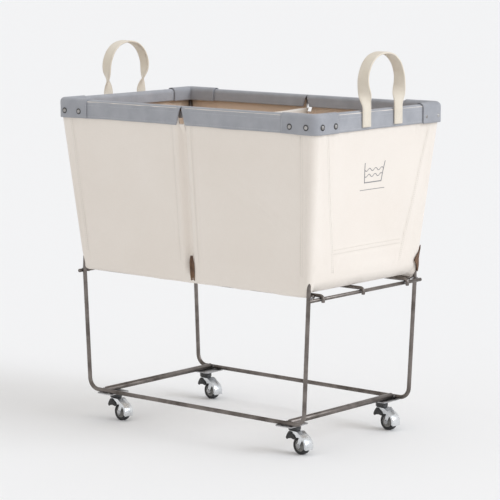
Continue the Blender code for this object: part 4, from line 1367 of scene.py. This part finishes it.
def plate_shape(name, mat, sy):
    """Zinc plate with round corners, four dimples and a rolled kingpin head."""
    half_x, out, inner, r = 0.023, 0.041, 0.021, 0.005
    low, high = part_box("caster_plate_front_left")
    outline = []
    for cx, cy, start in ((half_x - r, -inner + r, -90), (half_x - r, out - r, 0),
                          (-half_x + r, out - r, 90), (-half_x + r, -inner + r, 180)):
        outline += [(cx + x, sy * (cy + y)) for x, y in arc(r, start, start + 90, 6)]
    count = len(outline)
    verts = [(x, y, low[2]) for x, y in outline] + [(x, y, high[2]) for x, y in outline]
    faces = [tuple(range(count)), tuple(range(count, 2 * count))]
    faces += [(i, (i + 1) % count, count + (i + 1) % count, count + i) for i in range(count)]
    plate = new_object(name, verts, faces, mat)
    face_out(plate)
    soften(plate, 0.0005)
    bits = Bits()
    bits.dome((0, 0, low[2] - 0.0001), (0, 0, -1), 0.0120, 0.0006, 1.05)
    for x in (0.0155, -0.0155):
        for y in (-0.013, 0.0335):
            bits.dome((x, sy * y, low[2] + 0.0001), (0, 0, -1), 0.0028, 0.0011, 1.1)
    return join(name, [plate, bits.build("plate_bits", mat)])


def make_caster(corner, mats):
    """One swivel caster: plate and head stay, the fork turns, the wheel rolls, the brake tips."""
    sy = CORNERS[corner][1]
    king = JOINTS["swivel_" + corner]["pos_m"]
    axle_at = JOINTS["roll_" + corner]["pos_m"]
    brake_at = JOINTS["brake_" + corner]["pos_m"]
    turn = Matrix.Rotation(HEADING, 4, "Z")

    plate = plate_shape("plate_" + corner, mats["plate"], sy)
    plate.data.transform(Matrix.Translation((king[0], king[1], 0)))
    keep(plate, ROOT, "plate_steel", "caster_plate_" + corner)
    low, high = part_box("caster_head_" + corner)
    crown_top = axle_at[2] + CROWN
    top, under = high[2], crown_top + 0.0003
    waist = (top + under) / 2
    ring = [(0, top), (0.0118, top), (0.0128, top - 0.0006), (0.0139, top - 0.0026),
            (0.0140, waist + 0.0006), (0.0133, waist),
            (0.0140, waist - 0.0006), (0.0139, under + 0.0022), (0.0128, under + 0.0004),
            (0.0118, under), (0.0042, under), (0.0042, crown_top - 0.0029),
            (0.0060, crown_top - 0.0029), (0.0062, crown_top - 0.0034), (0.0055, low[2]),
            (0, low[2])]
    # The head is near-black as painted shade for the shadow under the plate
    head = lathe("swivel_head_" + corner, ring, 56, mats["head"])
    head.data.transform(Matrix.Translation((king[0], king[1], 0)))
    keep(head, ROOT, "black_plastic", "caster_head_" + corner)
    for shape, name, mat, at, body, slot, node in (
            (fork_shape, "fork_", "fork", axle_at, "swivel_", "fork_zinc", "caster_fork_"),
            (axle_shape, "axle_", "plate", axle_at, "swivel_", "plate_steel", "caster_axle_"),
            (hub_shape, "hub_", "hub", axle_at, "wheel_", "hub_plastic", "wheel_hub_"),
            (tyre_shape, "tyre_", "tyre", axle_at, "wheel_", "tyre_rubber", "wheel_tyre_"),
            (pedal_shape, "pedal_", "black", brake_at, "brake_", "black_plastic", "brake_pedal_")):
        piece = shape(name + corner, mats[mat])
        piece.data.transform(Matrix.Translation(at) @ turn)
        keep(piece, body + corner, slot, node + corner)


# ------------------------------------------------------------------ printed mark
def ink_strip(bits, line, width=0.0021, lift=0.00035):
    """A flat line of ink on the right end wall through (y, z) points."""
    fine = spline(line, max(8, 10 * len(line))) if len(line) > 2 else np.linspace(*line, 12)
    verts = []
    for k, (y, z) in enumerate(fine):
        dy, dz = fine[min(k + 1, len(fine) - 1)] - fine[max(k - 1, 0)]
        size = math.hypot(dy, dz)
        for sign in (-1, 1):
            for up in (lift, lift - 0.0005):
                point, _ = wall_point(1, float(y - sign * dz / size * width / 2),
                                      float(z + sign * dy / size * width / 2), up)
                verts.append(point)
    count = len(fine)
    faces = []
    for k in range(count - 1):
        a, b = 4 * k, 4 * (k + 1)
        faces += [(a, a + 2, b + 2, b), (a + 1, b + 1, b + 3, a + 3), (a, b, b + 1, a + 1),
                  (a + 2, a + 3, b + 3, b + 2)]
    last = 4 * (count - 1)
    faces += [(0, 1, 3, 2), (last, last + 2, last + 3, last + 1)]
    bits.add(verts, faces)


def make_mark(ink):
    """A plain wash-tub drawing: a tub, its brim and two waves."""
    bits = Bits()
    z = 0.604
    ink_strip(bits, [(-0.036, z + 0.026), (-0.030, z - 0.018)])
    ink_strip(bits, [(0.036, z + 0.026), (0.030, z - 0.018)])
    ink_strip(bits, [(-0.0305, z - 0.018), (0.0305, z - 0.018)])
    for level, reach in ((0.010, 0.033), (-0.003, 0.031)):
        wave = [(y, z + level + 0.0030 * math.sin(y * math.tau / 0.022))
                for y in np.linspace(-reach, reach, 19)]
        ink_strip(bits, wave, 0.0015)
    ink_strip(bits, [(-0.044, z - 0.034), (0.044, z - 0.034)], 0.0012)
    keep(bits.build("printed_tub_mark", ink), ROOT, "canvas")


# ------------------------------------------------------------------ materials
def rubber_material(name, colour, rough):
    """Dull rubber or moulded plastic with a fine pebble and scuffs."""
    n = Nodes(name, colour, rough)
    at = n.object_at()
    pebble = n.noise(at, 900.0, 2.0)
    scuff = n.noise(at, 60.0, 5.0, 0.65)
    lighter = tuple(min(1.0, c * 1.9 + 0.02) for c in colour)
    shade = n.mix(n.ramp(scuff, 0.52, 0.78, 0.0, 0.7), colour, lighter)
    normal = n.bump(pebble, 0.35, 0.0002)
    return n.finish(shade, n.ramp(scuff, 0.3, 0.7, rough * 0.85, rough * 1.2), normal)


def leather_material(name):
    """Brown saddle leather: pebbled grain, mottled colour and a slight polish."""
    n = Nodes(name, (0.10, 0.047, 0.022), 0.5)
    at = n.object_at()
    cells = n.add("ShaderNodeTexVoronoi", {"Vector": at, "Scale": 900.0}, feature="DISTANCE_TO_EDGE")
    mottled = n.noise(at, 70.0, 4.0, 0.6)
    shade = n.mix(n.ramp(mottled, 0.35, 0.7), (0.085, 0.038, 0.017), (0.20, 0.105, 0.055))
    grain = n.ramp(cells.outputs["Distance"], 0.0, 0.12)
    normal = n.bump(grain, 0.5, 0.0003)
    return n.finish(shade, n.ramp(mottled, 0.3, 0.7, 0.42, 0.62), normal)


def webbing_material(name, colour, dark, pitch, slant=1.0, sheen=0.2):
    """Tight herringbone tape: slanted ribs that turn at each stripe."""
    n = Nodes(name, colour, 0.85)
    at = n.cloth_at()
    split = n.add("ShaderNodeSeparateXYZ", {0: at})
    zigzag = n.math("PINGPONG", split.outputs[1], pitch * 4)
    phase = n.math("ADD", split.outputs[0], n.math("MULTIPLY", zigzag, slant))
    ribs = n.math("SINE", n.math("MULTIPLY", phase, math.tau / pitch))
    lines = n.math("SINE", n.math("MULTIPLY", split.outputs[1], math.tau / (pitch * 0.8)))
    weave = n.math("ADD", n.math("MULTIPLY", ribs, 0.6), n.math("MULTIPLY", lines, 0.4))
    patches = n.noise(n.object_at(), 26.0, 4.0, 0.6)
    fuzz = n.noise(n.object_at(), 600.0, 2.0)
    # Tone: random patches, plus painted shade that darkens the grooves between the ribs
    tone = n.math("ADD", n.ramp(patches, 0.35, 0.7, 0.0, 0.55), n.ramp(weave, 0.2, -1.0, 0.0, 0.45),
                  clamp=True)
    shade = n.mix(tone, colour, dark)
    height = n.math("ADD", weave, n.math("MULTIPLY", fuzz, 0.8))
    normal = n.bump(height, 0.5, 0.0004)
    return n.finish(shade, n.ramp(patches, 0.3, 0.7, 0.78, 0.92), normal, sheen=sheen,
                    specular=0.3)


def thread_material(name, colour):
    """Waxed thread with a twist."""
    n = Nodes(name, colour, 0.7)
    twist = n.noise(n.object_at(), 1400.0, 1.0)
    dark = tuple(c * 0.75 for c in colour)
    return n.finish(n.mix(twist, colour, dark), None, n.bump(twist, 0.4, 0.0002))


def make_materials():
    """Every finish of the sorter."""
    steel = metal_material("frame_steel_wire", (0.23, 0.205, 0.19), (0.11, 0.095, 0.085), 0.36, 1.0)
    return {
        "canvas": cloth_material("duck_canvas", (0.865, 0.805, 0.74), (0.80, 0.73, 0.655)),
        # Inside faces of the canvas: the same cloth made tan, as painted warm shade and bounce light on
        # the inner walls
        "lining": cloth_material("duck_canvas_inside_painted_warm_shade", (0.83, 0.68, 0.55), (0.77, 0.60, 0.46)),
        "divider": cloth_material("divider_duck", (0.84, 0.80, 0.74), (0.78, 0.73, 0.66)),
        "trim": webbing_material("grey_binding", (0.42, 0.43, 0.46), (0.31, 0.32, 0.35), 0.0016),
        "patch": webbing_material("grey_patch", (0.40, 0.41, 0.44), (0.29, 0.30, 0.33), 0.0016),
        "strap": webbing_material("cream_webbing", (0.82, 0.755, 0.65), (0.70, 0.62, 0.50), 0.0020),
        "thread": thread_material("cream_thread", (0.80, 0.76, 0.69)),
        "grey_thread": thread_material("grey_thread", (0.62, 0.63, 0.65)),
        "dark_thread": thread_material("brown_thread", (0.30, 0.20, 0.12)),
        "leather": leather_material("saddle_leather"),
        "steel": steel,
        "weld": metal_material("weld_steel", (0.26, 0.25, 0.25), (0.10, 0.09, 0.09), 0.42, 0.0, 0.0003),
        "plate": metal_material("zinc_sheet", (0.52, 0.52, 0.53), (0.36, 0.36, 0.37), 0.33),
        "fork": metal_material("bright_zinc", (0.80, 0.82, 0.84), (0.62, 0.64, 0.66), 0.24),
        "rivet": metal_material("nickel", (0.46, 0.45, 0.44), (0.26, 0.25, 0.24), 0.28),
        "rivet_dark_disc": metal_material("dark_disc_under_rivet", (0.12, 0.12, 0.12), (0.06, 0.06, 0.06), 0.4),
        # Swivel head: near-black as painted shade under the plate
        "head": rubber_material("swivel_head_painted_shade", (0.035, 0.035, 0.036), 0.42),
        "black": rubber_material("black_plastic_moulded", (0.018, 0.018, 0.019), 0.45),
        "hub": rubber_material("grey_hub_plastic", (0.24, 0.235, 0.225), 0.5),
        "tyre": rubber_material("dark_tyre_rubber", (0.022, 0.022, 0.023), 0.65),
        "ink": thread_material("grey_ink", (0.30, 0.30, 0.31)),
    }


# ------------------------------------------------------------------ stage
def make_stage():
    """Pale floor, white surroundings, a broad sun from the right, and the camera."""
    scene = bpy.context.scene
    scene.view_settings.view_transform = "Standard"
    floor_mat = Nodes("pale_floor", (0.90, 0.90, 0.90), 0.9).finish(specular=0.1)
    size = 60.0
    floor = new_object("floor", [(-size, -size, 0), (size, -size, 0), (size, size, 0), (-size, size, 0)],
                       [(0, 1, 2, 3)], floor_mat, flat=True)
    floor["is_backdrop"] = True
    world = bpy.data.worlds.new("studio")
    scene.world = world
    world.use_nodes = True
    sky = world.node_tree.nodes["Background"]
    sky.inputs["Color"].default_value = (1.0, 0.992, 0.985, 1.0)
    sky.inputs["Strength"].default_value = 0.80
    light = bpy.data.lights.new("window", "SUN")
    light.energy = 1.3
    light.angle = math.radians(35)
    light.color = (0.95, 1.0, 1.08)
    lamp = bpy.data.objects.new("window", light)
    lamp.rotation_euler = Vector((-1.0, -0.30, -0.62)).to_track_quat("-Z", "Y").to_euler()
    scene.collection.objects.link(lamp)
    camera = bpy.data.cameras.new("camera")
    camera.lens = 162.25
    camera.sensor_width = 36.0
    camera.clip_end = 200.0
    view = bpy.data.objects.new("camera", camera)
    view.location = (3.284, -3.888, 1.134)
    view.rotation_euler = (math.radians(90 - 8.168), 0.0, math.radians(40.127))
    scene.collection.objects.link(view)
    scene.camera = view


# ------------------------------------------------------------------ all pieces
def main():
    """Make every piece and hide the CAD parts it stands for."""
    mats = make_materials()
    bag = make_bag(mats["canvas"], mats["lining"])
    keep(bag, ROOT, "canvas", "canvas_basket")
    # A cross-shaped cut: the bottom with the four walls folded up, which are wider at the rim.
    divider = make_divider(mats["divider"])
    keep(divider, ROOT, "divider_canvas", "divider_panel")
    keep(make_bag_stitches(mats["thread"]), ROOT, "canvas")
    make_trim(mats, mats["grey_thread"])
    make_rivets(mats["rivet"], mats["rivet_dark_disc"])
    make_handle("handle_left", -1, mats["strap"], mats["thread"])
    make_handle("handle_right", 1, mats["strap"], mats["thread"])
    make_leather(mats["leather"], mats["dark_thread"])
    make_side_frames(mats["steel"])
    make_hoop(mats["steel"])
    make_bars(mats["steel"])
    make_welds(mats["weld"])
    for corner in CORNERS:
        make_caster(corner, mats)
    make_mark(mats["ink"])
    make_stage()
    bpy.context.view_layer.update()
    boxes = [[[float(v) for v in corner] for corner in box] for box in (cad_bounds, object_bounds())]


main()
